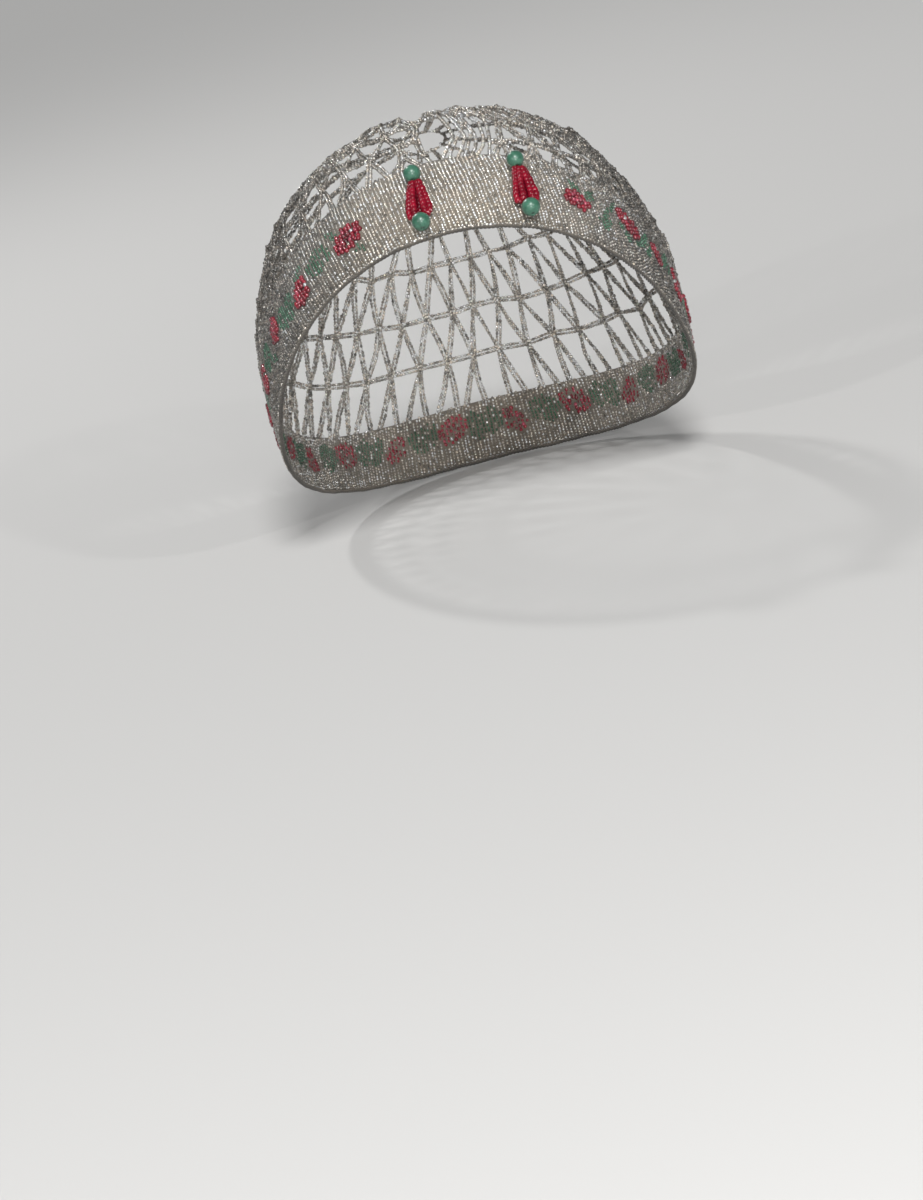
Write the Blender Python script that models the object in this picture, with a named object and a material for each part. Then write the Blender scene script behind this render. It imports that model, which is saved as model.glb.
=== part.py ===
"""Beaded cap: a band of bead strands, an openwork bead net, a corded hem and two ornaments.

Metres, +Z up, the front towards -Y. The origin is the top of the hollow, where the cap sits.
"""
from bisect import bisect_left
from functools import lru_cache
from math import copysign, cos, pi, radians, sin, sqrt

import bmesh
import bpy
from mathutils import Matrix, Vector

# Outer face: a head-shaped solid, flatter than an ellipsoid by the exponent
HALF_WIDTH = 0.080
FRONT_DEPTH = 0.095
BACK_DEPTH = 0.098
CROWN_HEIGHT = 0.092
LOWER_DEPTH = 0.102
ROUNDNESS = 2.2

# The cap's own axis leans back from the vertical; polar angles are measured from it
AXIS_LEAN = radians(40)
HEM_POLAR = radians(97.5)
HEM_FRONT_TO_BACK = radians(3)
HEM_SIDE_DROP = radians(9)
CROWN_RING_POLAR = radians(5)

# Band, hem and net
BAND_WIDTH = 0.029
BAND_FRONT_TO_BACK = 0.006
BAND_SIDE_TAPER = 0.002
WALL = 0.002
HEM_CORD = 0.0018
NET_STRAND = 0.0022
GAP = 0.0003

# Net rows: the share of the way from the band's top edge to the crown ring at each row of knots
NET_ROWS = (0.0, 0.16, 0.32, 0.50, 0.70, 0.86, 1.0)
NET_COLUMNS = 24
NET_TURN = 0.75
NET_STEP = 360 / NET_COLUMNS

# Loose front strands: the foot, the middle and the top as degrees round the cap, and the top's row
LOOSE_STRANDS = (
    {"foot": 0.75, "middle": -0.6, "top": 0.75, "row": 2.0},
    {"foot": 4.0, "middle": 8.4, "top": 8.25, "row": 3.0},
    {"foot": 9.0, "middle": 12.6, "top": 12.0, "row": 2.5},
    {"foot": 13.5, "middle": 16.8, "top": 15.75, "row": 2.0},
)
LOOSE_STEPS = 4

# Ornaments: degrees round the cap, and the heights of both green beads above the hem
ORNAMENTS = (
    {"name": "left", "angle": -3.5, "upper": 0.0280, "lower": 0.0052},
    {"name": "right", "angle": 18.4, "upper": 0.0281, "lower": 0.0053},
)
BEAD_RADIUS = 0.0031
BEAD_BORE = 0.0006
BEAD_SIDES = 12
BEAD_ARCS = 6
RED_STRANDS = 4
RED_STRAND_RADIUS = 0.0011
LOBE_STEPS = 3
BUNDLE_ARCH = 0.75
BUNDLE_BACK = (-1.0, -0.5, 0.0, 0.5, 1.0)
SHOULDER = 0.0014

# Red bundle: the share of its length from the upper bead, half its width and its height
BUNDLE_SECTIONS = (
    {"along": 0.00, "half": 0.0019, "height": 0.0030},
    {"along": 0.15, "half": 0.0026, "height": 0.0036},
    {"along": 0.35, "half": 0.0033, "height": 0.0037},
    {"along": 0.55, "half": 0.0039, "height": 0.0036},
    {"along": 0.75, "half": 0.0044, "height": 0.0034},
    {"along": 0.92, "half": 0.0046, "height": 0.0030},
    {"along": 1.00, "half": 0.0044, "height": 0.0024},
)

BAND_COLUMNS = 96
BAND_LEVELS = 4
HEM_COLUMNS = 72
MERIDIAN_STEPS = 120
TANGENT_STEP = 0.0005
MERGE = 0.000002
SHARP_ANGLE = radians(50)
SEAT = CROWN_HEIGHT - WALL

AXIS = Vector((0, sin(AXIS_LEAN), cos(AXIS_LEAN)))
FRONT = Vector((0, -cos(AXIS_LEAN), sin(AXIS_LEAN)))
SIDE = Vector((1, 0, 0))


def clear_scene():
    for item in list(bpy.data.objects):
        bpy.data.objects.remove(item, do_unlink=True)


def outer_point(angle, polar):
    """A point of the outer face and its outward normal."""
    round_axis = FRONT * cos(angle) + SIDE * sin(angle)
    ray = AXIS * cos(polar) + round_axis * sin(polar)
    depth = FRONT_DEPTH if ray.y < 0 else BACK_DEPTH
    height = CROWN_HEIGHT if ray.z > 0 else LOWER_DEPTH
    halves = (HALF_WIDTH, depth, height)
    total = sum(abs(part / half) ** ROUNDNESS for part, half in zip(ray, halves))
    point = ray * total ** (-1 / ROUNDNESS)
    slope = [copysign(abs(part / half) ** (ROUNDNESS - 1) / half, part) for part, half in zip(point, halves)]
    return point - Vector((0, 0, SEAT)), Vector(slope).normalized()


def hem_polar(angle):
    return HEM_POLAR + HEM_FRONT_TO_BACK * cos(angle) - HEM_SIDE_DROP * cos(2 * angle)


def band_width(angle):
    return BAND_WIDTH + BAND_FRONT_TO_BACK * cos(angle) + BAND_SIDE_TAPER * cos(2 * angle)


@lru_cache(maxsize=None)
def meridian(angle):
    """Polar angles from the hem to the crown ring up one meridian, and the arc lengths to them."""
    low = hem_polar(angle)
    rise = (CROWN_RING_POLAR - low) / MERIDIAN_STEPS
    polars = [low + rise * step for step in range(MERIDIAN_STEPS + 1)]
    lengths = [0.0]
    for start, end in zip(polars, polars[1:]):
        chord = outer_point(angle, end)[0] - outer_point(angle, start)[0]
        lengths.append(lengths[-1] + chord.length)
    return polars, lengths


def polar_at(angle, height):
    """The polar angle at an arc length above the hem."""
    polars, lengths = meridian(round(angle, 9))
    index = min(max(bisect_left(lengths, height), 1), MERIDIAN_STEPS)
    share = (height - lengths[index - 1]) / (lengths[index] - lengths[index - 1])
    return polars[index - 1] + (polars[index] - polars[index - 1]) * share


def place(angle, height, depth=0.0):
    """A point at an arc length above the hem and a depth under the outer face."""
    point, normal = outer_point(angle, polar_at(angle, height))
    return point - normal * depth


def frame_at(angle, height):
    """Where a piece lies on the cap: its X runs round the cap, Y up the meridian and Z outward."""
    origin, outward = outer_point(angle, polar_at(angle, height))
    upward = place(angle, height + TANGENT_STEP) - place(angle, height - TANGENT_STEP)
    across = upward.cross(outward).normalized()
    upward = outward.cross(across)
    matrix = Matrix((across, upward, outward)).transposed().to_4x4()
    return Matrix.Translation(origin) @ matrix


def net_height(angle, row):
    """The arc length above the hem of a row of the net, rows counted from the band's top edge."""
    index = min(int(row), len(NET_ROWS) - 2)
    share = NET_ROWS[index] + (NET_ROWS[index + 1] - NET_ROWS[index]) * (row - index)
    low = band_width(angle)
    return low + (meridian(round(angle, 9))[1][-1] - low) * share


def material(name, colour, roughness, metallic=0.0):
    made = bpy.data.materials.new(name)
    made.use_nodes = True
    shader = made.node_tree.nodes["Principled BSDF"]
    shader.inputs["Base Color"].default_value = (*colour, 1)
    shader.inputs["Roughness"].default_value = roughness
    shader.inputs["Metallic"].default_value = metallic
    return made


def add_object(name, mesh_or_curve, finish):
    piece = bpy.data.objects.new(name, mesh_or_curve)
    piece.data.materials.append(finish)
    bpy.context.scene.collection.objects.link(piece)
    return piece


def mesh_from(shape, name):
    bmesh.ops.recalc_face_normals(shape, faces=shape.faces)
    mesh = bpy.data.meshes.new(name)
    shape.to_mesh(mesh)
    shape.free()
    mesh.shade_smooth()
    mesh.set_sharp_from_angle(angle=SHARP_ANGLE)
    return mesh


def build_band(finish):
    """The band's wall, laid out as a closed sheet on the outer face and thickened inwards."""
    shape = bmesh.new()
    low = HEM_CORD + GAP
    rings = []
    for column in range(BAND_COLUMNS):
        angle = 2 * pi * column / BAND_COLUMNS
        high = band_width(angle) - NET_STRAND / 2 - GAP
        heights = [low + (high - low) * level / BAND_LEVELS for level in range(BAND_LEVELS + 1)]
        rings.append([shape.verts.new(place(angle, height)) for height in heights])
    for here, there in zip(rings, rings[1:] + rings[:1]):
        for level in range(BAND_LEVELS):
            shape.faces.new((here[level], there[level], there[level + 1], here[level + 1]))
    band = add_object("beaded_band", mesh_from(shape, "beaded_band"), finish)
    wall = band.modifiers.new("wall", "SOLIDIFY")
    wall.thickness = WALL
    wall.offset = -1
    return band


def build_hem(finish):
    """The corded edge: one closed round cord that follows the hem."""
    curve = bpy.data.curves.new("hem_cord", "CURVE")
    curve.dimensions = "3D"
    curve.bevel_depth = HEM_CORD / 2
    curve.bevel_resolution = 1
    spline = curve.splines.new("POLY")
    spline.points.add(HEM_COLUMNS - 1)
    spline.use_cyclic_u = True
    for column, point in enumerate(spline.points):
        angle = 2 * pi * column / HEM_COLUMNS
        point.co = (*place(angle, HEM_CORD / 2, WALL / 2), 1)
    return add_object("hem_cord", curve, finish)


def knot(row, column):
    """A knot of the net as degrees round the cap and a row; odd rows stand half a column on."""
    return (NET_TURN + (column + 0.5 * (row % 2)) * NET_STEP, float(row))


def middle_of(start, end):
    return ((start[0] + end[0]) / 2, (start[1] + end[1]) / 2)


def strands_through(knots):
    """The closed outline through a list of knots, with a point in the middle of each slanted side."""
    outline = []
    for start, end in zip(knots, knots[1:] + knots[:1]):
        outline.append(start)
        if start[0] != end[0]:
            outline.append(middle_of(start, end))
    return outline


def regular_cells():
    """The openings on the sides of the net as their corner knots: feet on the band, then lozenges."""
    cells = []
    for column in range(NET_COLUMNS):
        cells.append([knot(0, column), knot(0, column + 1), knot(1, column)])
        for row in (1, 2, 3):
            left = column - row % 2
            cells.append([knot(row - 1, column), knot(row, left + 1), knot(row + 1, column), knot(row, left)])
    return cells


def crown_cells():
    """Openings of the crown, where pairs of strands join and run on to the crown ring."""
    cells = []
    for pair in range(0, NET_COLUMNS, 2):
        join = (knot(4, pair)[0] + NET_STEP / 2, 5.0)
        end = (join[0], 6.0)
        next_join = (join[0] + 2 * NET_STEP, 5.0)
        next_end = (next_join[0], 6.0)
        cells.append([knot(3, pair), knot(4, pair + 1), join, knot(4, pair)])
        cells.append([knot(3, pair + 1), knot(4, pair + 2), next_join, next_end, end, join, knot(4, pair + 1)])
    return cells


def loose_path(strand):
    """A loose front strand from its foot on the band to its top, as a soft bow."""
    path = []
    bow = strand["middle"] - (strand["foot"] + strand["top"]) / 2
    for step in range(LOOSE_STEPS + 1):
        share = step / LOOSE_STEPS
        straight = strand["foot"] + (strand["top"] - strand["foot"]) * share
        path.append((straight + 4 * bow * share * (1 - share), strand["row"] * share))
    return path


def front_cells():
    """The broken place at the front: a torn opening, then slots between the loose strands."""
    torn, first, second, third = [loose_path(strand) for strand in LOOSE_STRANDS]
    left, right = knot(1, -1), knot(1, 1)
    return [
        torn + [middle_of(knot(2, 0), left), left, middle_of(left, knot(0, 0))],
        torn[::-1] + first + [middle_of(knot(3, 0), knot(2, 0))],
        first[::-1] + second,
        second[::-1] + third,
        third[::-1] + [knot(0, 1), middle_of(knot(0, 1), right), right, middle_of(right, knot(2, 1))],
    ]


def build_net(finish):
    """The net: one face for each opening, turned into strands by the Wireframe modifier."""
    broken = [
        {knot(0, 0), knot(0, 1), knot(1, 0)},
        {knot(0, 0), knot(1, -1), knot(1, 0), knot(2, 0)},
        {knot(0, 1), knot(1, 0), knot(1, 1), knot(2, 1)},
        {knot(1, 0), knot(2, 0), knot(2, 1), knot(3, 0)},
    ]
    whole = [cell for cell in regular_cells() if set(cell) not in broken]
    outlines = [strands_through(cell) for cell in whole + crown_cells()] + front_cells()
    shape = bmesh.new()
    points = {}

    def net_point(turn, row):
        key = (round(turn % 360, 3), round(row, 3))
        if key not in points:
            angle = radians(turn)
            points[key] = shape.verts.new(place(angle, net_height(angle, row), NET_STRAND / 2))
        return points[key]

    for outline in outlines:
        shape.faces.new([net_point(turn, row) for turn, row in outline])
    net = add_object("net_crown", mesh_from(shape, "net_crown"), finish)
    strands = net.modifiers.new("strands", "WIREFRAME")
    strands.thickness = NET_STRAND
    strands.use_even_offset = True
    strands.use_boundary = True
    return net


def build_bead(name, spot, along, finish):
    """A round glass bead with its bore along the strands: a turned profile."""
    shape = bmesh.new()
    first = -pi / 2 + BEAD_BORE / BEAD_RADIUS
    profile = []
    for step in range(BEAD_ARCS + 1):
        turn = first + (-2 * first) * step / BEAD_ARCS
        profile.append(shape.verts.new((BEAD_RADIUS * cos(turn), BEAD_RADIUS * sin(turn), 0)))
    edges = [shape.edges.new(pair) for pair in zip(profile, profile[1:] + profile[:1])]
    bmesh.ops.spin(shape, geom=edges, cent=(0, 0, 0), axis=(0, 1, 0), angle=2 * pi, steps=BEAD_SIDES,
                   use_merge=True)
    bmesh.ops.remove_doubles(shape, verts=shape.verts, dist=MERGE)
    bead = add_object(name, mesh_from(shape, name), finish)
    bead.matrix_world = spot @ Matrix.Translation((0, along, BEAD_RADIUS + GAP))
    return bead


def bundle_outline(half, height):
    """One section across the red strands: a flat back and a lobe for each strand."""
    outline = [(half * share, GAP) for share in BUNDLE_BACK]
    steps = LOBE_STEPS * RED_STRANDS
    for step in range(steps + 1):
        across = half * (1 - 2 * step / steps)
        arch = sqrt(1 - (across / half) ** 2 * BUNDLE_ARCH)
        lobe = abs(sin(pi * step / LOBE_STEPS))
        outline.append((across, GAP + (height - RED_STRAND_RADIUS / 2) * arch + RED_STRAND_RADIUS / 2 * lobe))
    return outline


def build_bundle(name, spot, upper, lower, finish):
    """The bundle of red strands between two green beads, its lower end hollowed round the bead."""
    shape = bmesh.new()
    start = upper - BEAD_RADIUS - GAP
    reach = BEAD_RADIUS + 2 * GAP
    rings = []
    for section in BUNDLE_SECTIONS:
        ring = []
        for across, out in bundle_outline(section["half"], section["height"]):
            hollow = sqrt(max(reach ** 2 - across ** 2, SHOULDER ** 2))
            along = start + (lower + hollow - start) * section["along"]
            ring.append(shape.verts.new((across, along, out)))
        rings.append(ring)
    for here, there in zip(rings, rings[1:]):
        for index in range(len(here)):
            after = (index + 1) % len(here)
            shape.faces.new((here[index], here[after], there[after], there[index]))
    shape.faces.new(rings[0])
    shape.faces.new(rings[-1])
    bundle = add_object(name, mesh_from(shape, name), finish)
    bundle.matrix_world = spot
    return bundle


def build_ornament(ornament, green, red):
    """An ornament hangs straight down the band, so its middle sets where it lies."""
    middle = (ornament["upper"] + ornament["lower"]) / 2
    spot = frame_at(radians(ornament["angle"]), middle)
    upper = ornament["upper"] - middle
    lower = ornament["lower"] - middle
    build_bead(ornament["name"] + "_upper_bead", spot, upper, green)
    build_bundle(ornament["name"] + "_red_strands", spot, upper, lower, red)
    build_bead(ornament["name"] + "_lower_bead", spot, lower, green)


def build_cap():
    clear_scene()
    silver = material("silver_lined_beads", (0.42, 0.40, 0.37), 0.3, 0.6)
    net_silver = material("silver_net_beads", (0.38, 0.37, 0.35), 0.3, 0.6)
    thread = material("hem_thread", (0.35, 0.31, 0.26), 0.8)
    green = material("green_glass", (0.10, 0.38, 0.26), 0.2)
    red = material("red_glass", (0.45, 0.01, 0.03), 0.2)
    build_band(silver)
    build_hem(thread)
    build_net(net_silver)
    for ornament in ORNAMENTS:
        build_ornament(ornament, green, red)


build_cap()
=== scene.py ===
# %% [markdown]
# # A beaded cap
# The object is a close cap of beadwork. A deep band of silver beads goes all the way round, worked with
# red flowers and green leaves. Above it an open net of bead strands covers the crown, torn at the front,
# and two ornaments of green and red glass hang on the band.
#
# The solids come ready from the CAD model. This script dresses them: it makes the seed beads, the thread
# under them, the corded hem and the ornaments, and gives each its finish.

# %% Load the frame
from math import atan2, cos, pi, radians, sin

import bpy
import numpy as np
from mathutils import Matrix, Vector


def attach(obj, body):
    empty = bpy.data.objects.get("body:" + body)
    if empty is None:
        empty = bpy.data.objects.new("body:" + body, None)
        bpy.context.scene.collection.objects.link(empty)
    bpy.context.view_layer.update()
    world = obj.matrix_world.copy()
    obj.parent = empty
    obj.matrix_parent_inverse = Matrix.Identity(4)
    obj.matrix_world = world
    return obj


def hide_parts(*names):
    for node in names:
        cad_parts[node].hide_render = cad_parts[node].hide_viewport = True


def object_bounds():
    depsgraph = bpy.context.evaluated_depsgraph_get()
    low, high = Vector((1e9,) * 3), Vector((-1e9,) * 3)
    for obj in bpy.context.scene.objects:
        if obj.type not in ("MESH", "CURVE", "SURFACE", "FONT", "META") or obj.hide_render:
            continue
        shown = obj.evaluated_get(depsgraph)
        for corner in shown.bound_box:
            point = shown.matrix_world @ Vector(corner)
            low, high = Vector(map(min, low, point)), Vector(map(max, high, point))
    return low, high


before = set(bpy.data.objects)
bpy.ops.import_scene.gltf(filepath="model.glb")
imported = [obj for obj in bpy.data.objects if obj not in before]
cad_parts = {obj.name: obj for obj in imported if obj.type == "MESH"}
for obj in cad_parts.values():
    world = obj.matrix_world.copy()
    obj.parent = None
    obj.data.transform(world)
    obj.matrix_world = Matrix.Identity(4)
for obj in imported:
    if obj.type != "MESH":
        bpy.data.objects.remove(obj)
cad_low, cad_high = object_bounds()
print("CAD nodes:", sorted(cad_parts))

# %% [markdown]
# ## The camera
# The photograph was taken from the front, a little above the cap, with the cap tilted in the picture. Here
# the cap stays upright and the camera rolls instead. A long lens from 1.5 m keeps the near and the far
# side at nearly one scale. The camera points at the middle of the picture, so it needs no shift.

# %% Camera
PICTURE_WIDTH = 923
PICTURE_HEIGHT = 1200
CAMERA_DISTANCE = 1.5
CAMERA_AZIMUTH = radians(0.314)
CAMERA_ELEVATION = radians(11.447)
CAMERA_ROLL = radians(14.35)
PIXELS_PER_METRE = 2682
AIM = Vector((0, 0, -0.090))
AIM_PIXEL = (476.5, 356.2)
SENSOR = 36


def add_camera():
    """Stands the camera in front of the cap, and turns it so that AIM falls on its own pixel."""
    back = Vector((sin(CAMERA_AZIMUTH) * cos(CAMERA_ELEVATION), -cos(CAMERA_AZIMUTH) * cos(CAMERA_ELEVATION),
                   sin(CAMERA_ELEVATION)))
    right = Vector((cos(CAMERA_AZIMUTH), sin(CAMERA_AZIMUTH), 0))
    up = back.cross(right)
    focal = PIXELS_PER_METRE * CAMERA_DISTANCE
    straight = Matrix((right, up, back)).transposed()
    rolled = straight @ Matrix.Rotation(-CAMERA_ROLL, 3, "Z")
    across = (PICTURE_WIDTH / 2 - AIM_PIXEL[0]) / focal
    down = (PICTURE_HEIGHT / 2 - AIM_PIXEL[1]) / focal
    turned = rolled @ Matrix.Rotation(-atan2(across, 1), 3, "Y") @ Matrix.Rotation(-atan2(down, 1), 3, "X")
    lens = bpy.data.cameras.new("camera")
    lens.sensor_fit = "VERTICAL"
    lens.sensor_height = SENSOR
    lens.sensor_width = SENSOR
    lens.lens = focal * SENSOR / PICTURE_HEIGHT
    lens.clip_end = 50
    camera = bpy.data.objects.new("camera", lens)
    bpy.context.scene.collection.objects.link(camera)
    camera.matrix_world = Matrix.Translation(AIM + back * CAMERA_DISTANCE) @ turned.to_4x4()
    bpy.context.scene.camera = camera
    return camera


camera = add_camera()
print("lens", round(camera.data.lens, 1), "mm at", [round(part, 3) for part in camera.location])

# %% [markdown]
# ## Floor and light
# The floor is one large pale plane. A sun lamp with a wide disc stands for the main softbox above the
# front: it lights the floor evenly however far it runs. A second softbox stands before the cap, and two
# small bright lamps give every glass bead its sharp points of light. The world only fills the shadows, so
# the gaps between the beads stay dark. The Standard view keeps the reds and greens as deep as they are.

# %% Floor, lamps and world
FLOOR_HALF = 40.0
FLOOR_CLEARANCE = 0.0006
KEY_FROM = (0.12, -1.00, 0.95)
KEY_DISC = radians(14)
KEY_STRENGTH = 2.5
LAMPS = (  # name, place, width in metres, power in watts
    ("softbox in front", (0.10, -1.40, 0.20), 0.30, 6.5),
    ("glint lamp", (0.70, -1.15, 0.55), 0.05, 3.5),
    ("second glint lamp", (-0.75, -1.05, 0.50), 0.05, 3.0),
    ("rim light", (-0.55, 0.95, 0.90), 0.10, 5.0),
)
LAMP_WHITE = "#FFFFFF"
FLOOR_COLOUR = "#CCCBC9"
FLOOR_ROUGHNESS = 0.85
WORLD_COLOUR = "#DDE0E4"
WORLD_STRENGTH = 0.16


def linear(code):
    """The linear colour of an sRGB hex code such as #7F7F7F."""
    parts = [int(code[start:start + 2], 16) / 255 for start in (1, 3, 5)]
    return [part / 12.92 if part <= 0.04045 else ((part + 0.055) / 1.055) ** 2.4 for part in parts]


def add_node(tree, kind, links=(), **settings):
    """Adds a shader node. Settings name properties or, by a leading in_, input sockets; links join sockets."""
    node = tree.nodes.new(kind)
    for name, value in settings.items():
        if name.startswith("in_"):
            node.inputs[name[3:].replace("_", " ")].default_value = value
        else:
            setattr(node, name, value)
    for source, target in links:
        tree.links.new(source, node.inputs[target])
    return node


def new_material(name, roughness, ior=1.5, metallic=0.0):
    """A Principled material and its node tree; uniform values go straight onto the shader's sockets."""
    finish = bpy.data.materials.new(name)
    finish.use_nodes = True
    tree = finish.node_tree
    shader = tree.nodes["Principled BSDF"]
    shader.inputs["Roughness"].default_value = roughness
    shader.inputs["IOR"].default_value = ior
    shader.inputs["Metallic"].default_value = metallic
    return finish, tree, shader


def add_lamp(name, place, size, power):
    """A round lamp that points at the cap."""
    lamp = bpy.data.lights.new(name, "AREA")
    lamp.shape = "DISK"
    lamp.size = size
    lamp.energy = power
    lamp.color = linear(LAMP_WHITE)
    holder = bpy.data.objects.new(name, lamp)
    holder.location = place
    holder.rotation_euler = (AIM - Vector(place)).to_track_quat("-Z", "Y").to_euler()
    bpy.context.scene.collection.objects.link(holder)


bpy.ops.object.select_all(action="DESELECT")
bpy.ops.mesh.primitive_plane_add(size=2 * FLOOR_HALF, location=(0, 0, cad_low.z - FLOOR_CLEARANCE))
floor = bpy.context.object
floor.name = "floor"
bpy.ops.object.transform_apply(location=True, rotation=True, scale=True)
floor_paint, tree, shader = new_material("pale matt floor", FLOOR_ROUGHNESS)
shader.inputs["Base Color"].default_value = (*linear(FLOOR_COLOUR), 1)
floor.data.materials.append(floor_paint)

sun = bpy.data.lights.new("softbox above", "SUN")
sun.energy = KEY_STRENGTH
sun.angle = KEY_DISC
sun.color = linear(LAMP_WHITE)
holder = bpy.data.objects.new("softbox above", sun)
holder.rotation_euler = (-Vector(KEY_FROM)).to_track_quat("-Z", "Y").to_euler()
bpy.context.scene.collection.objects.link(holder)
for name, place, size, power in LAMPS:
    add_lamp(name, place, size, power)
world = bpy.data.worlds.new("studio")
bpy.context.scene.world = world
world.use_nodes = True
world.node_tree.nodes["Background"].inputs["Color"].default_value = (*linear(WORLD_COLOUR), 1)
world.node_tree.nodes["Background"].inputs["Strength"].default_value = WORLD_STRENGTH
bpy.context.scene.view_settings.view_transform = "Standard"
print("floor at", round(cad_low.z - FLOOR_CLEARANCE, 4), "m, with", len(LAMPS) + 1, "lamps")

# %% [markdown]
# ## The cap's form as a map
# Beads and threads all lie on the cap's outer face, so the face is worked out once as a map. A place on
# the cap is a turn in degrees round it, from the front, and a height in metres up the face from the hem.
# The map gives the point in space and the three directions there: round the cap, up it and outward.

# %% The map of the outer face
HALF_WIDTH = 0.080
FRONT_DEPTH = 0.095
BACK_DEPTH = 0.098
CROWN_HEIGHT = 0.092
LOWER_DEPTH = 0.102
ROUNDNESS = 2.2
WALL = 0.002
SEAT = CROWN_HEIGHT - WALL
AXIS_LEAN = radians(40)
CROWN_RING_POLAR = radians(5)
HEM_POLAR = 97.5  # degrees from the axis to the hem, with what the front and the sides add
HEM_FRONT = 3
HEM_SIDES = 9
BAND_MIDDLE = 0.029  # the band's mean width, with what the front and the sides add
BAND_FRONT = 0.006
BAND_SIDES = 0.002
MAP_STEPS = 160
TINY = 0.0004

AXIS = np.array([0, sin(AXIS_LEAN), cos(AXIS_LEAN)])
FRONT = np.array([0, -cos(AXIS_LEAN), sin(AXIS_LEAN)])
SIDE = np.array([1.0, 0, 0])


def face_point(angle, polar):
    """Points of the outer face and their outward normals, for arrays of angles in radians."""
    ray = np.outer(np.cos(polar), AXIS) + np.outer(np.sin(polar) * np.cos(angle), FRONT)
    ray = ray + np.outer(np.sin(polar) * np.sin(angle), SIDE)
    halves = np.empty_like(ray)
    halves[:, 0] = HALF_WIDTH
    halves[:, 1] = np.where(ray[:, 1] < 0, FRONT_DEPTH, BACK_DEPTH)
    halves[:, 2] = np.where(ray[:, 2] > 0, CROWN_HEIGHT, LOWER_DEPTH)
    total = (np.abs(ray / halves) ** ROUNDNESS).sum(axis=1)
    point = ray * (total ** (-1 / ROUNDNESS))[:, None]
    slope = np.sign(point) * np.abs(point / halves) ** (ROUNDNESS - 1) / halves
    return point - np.array([0, 0, SEAT]), slope / np.linalg.norm(slope, axis=1)[:, None]


def hem_polar(angle):
    """The angle in radians from the cap's axis down to its hem."""
    return np.radians(HEM_POLAR + HEM_FRONT * np.cos(angle) - HEM_SIDES * np.cos(2 * angle))


def band_width(turn):
    """The band's width in metres at a turn in degrees: widest at the front, narrower at the back."""
    angle = np.radians(turn)
    return BAND_MIDDLE + BAND_FRONT * np.cos(angle) + BAND_SIDES * np.cos(2 * angle)


def lengths_along(points):
    """How far each point of a path lies from its start, measured along it."""
    return np.concatenate([[0], np.cumsum(np.linalg.norm(np.diff(points, axis=0), axis=1))])


MAP_SHARES = np.linspace(0, 1, MAP_STEPS + 1)
MAP_LENGTHS = np.empty((361, MAP_STEPS + 1))
for degree in range(361):
    angle = radians(degree)
    polars = hem_polar(angle) + (CROWN_RING_POLAR - hem_polar(angle)) * MAP_SHARES
    line = face_point(np.full(polars.shape, angle), polars)[0]
    MAP_LENGTHS[degree] = lengths_along(line)


def full_height(turn):
    """The length of the face from the hem to the crown ring."""
    return np.interp(np.asarray(turn) % 360, np.arange(361), MAP_LENGTHS[:, -1])


def face_at(turn, height):
    """Points and normals at turns in degrees and heights in metres above the hem."""
    turn = np.asarray(turn, float) % 360
    height = np.asarray(height, float)
    lower = np.floor(turn).astype(int)
    part = turn - lower
    share = np.empty(turn.shape)
    for index in range(len(turn)):
        first = np.interp(height[index], MAP_LENGTHS[lower[index]], MAP_SHARES)
        second = np.interp(height[index], MAP_LENGTHS[lower[index] + 1], MAP_SHARES)
        share[index] = first + (second - first) * part[index]
    angle = np.radians(turn)
    low = hem_polar(angle)
    return face_point(angle, low + (CROWN_RING_POLAR - low) * share)


def unit(vectors):
    """The same directions, each one unit long."""
    return vectors / np.maximum(np.linalg.norm(vectors, axis=-1), 1e-12)[..., None]


def cap_frames(turn, height, depth):
    """Points under the face, with the directions round the cap, up it and outward at each."""
    point, outward = face_at(turn, height)
    upward = face_at(turn, height + TINY)[0] - face_at(turn, height - TINY)[0]
    across = unit(np.cross(upward, outward))
    upward = np.cross(outward, across)
    return point - outward * np.asarray(depth)[..., None], across, upward, outward


top_length = full_height(np.array([0.0]))[0]
print("front: band", round(float(band_width(0.0)) * 1000, 1), "mm,",
      "to the crown ring", round(top_length * 1000, 1), "mm")

# %% [markdown]
# ## One seed bead
# A seed bead is a short glass tube, cut from a long cane and tumbled until its edges are round. It is
# modelled once: a narrow six-sided cylinder is subdivided across its middle, and the new ring is widened.
# Thousands of copies follow, so it has only a few faces, and smooth shading makes it round.

# %% The pattern bead
SEED_RADIUS = 0.00059
SEED_LENGTH = 0.00112
SEED_SIDES = 6
END_TAPER = 0.48


def only(piece):
    """Selects one piece alone and makes it active."""
    bpy.ops.object.select_all(action="DESELECT")
    piece.select_set(True)
    bpy.context.view_layer.objects.active = piece


def pick_faces(piece, wanted):
    """Selects the faces that the test wants, then opens edit mode on them."""
    only(piece)
    bpy.ops.object.mode_set(mode="EDIT")
    bpy.ops.mesh.select_mode(type="FACE")
    bpy.ops.mesh.select_all(action="DESELECT")
    bpy.ops.object.mode_set(mode="OBJECT")
    for face in piece.data.polygons:
        face.select = wanted(face)
    bpy.ops.object.mode_set(mode="EDIT")


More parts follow.
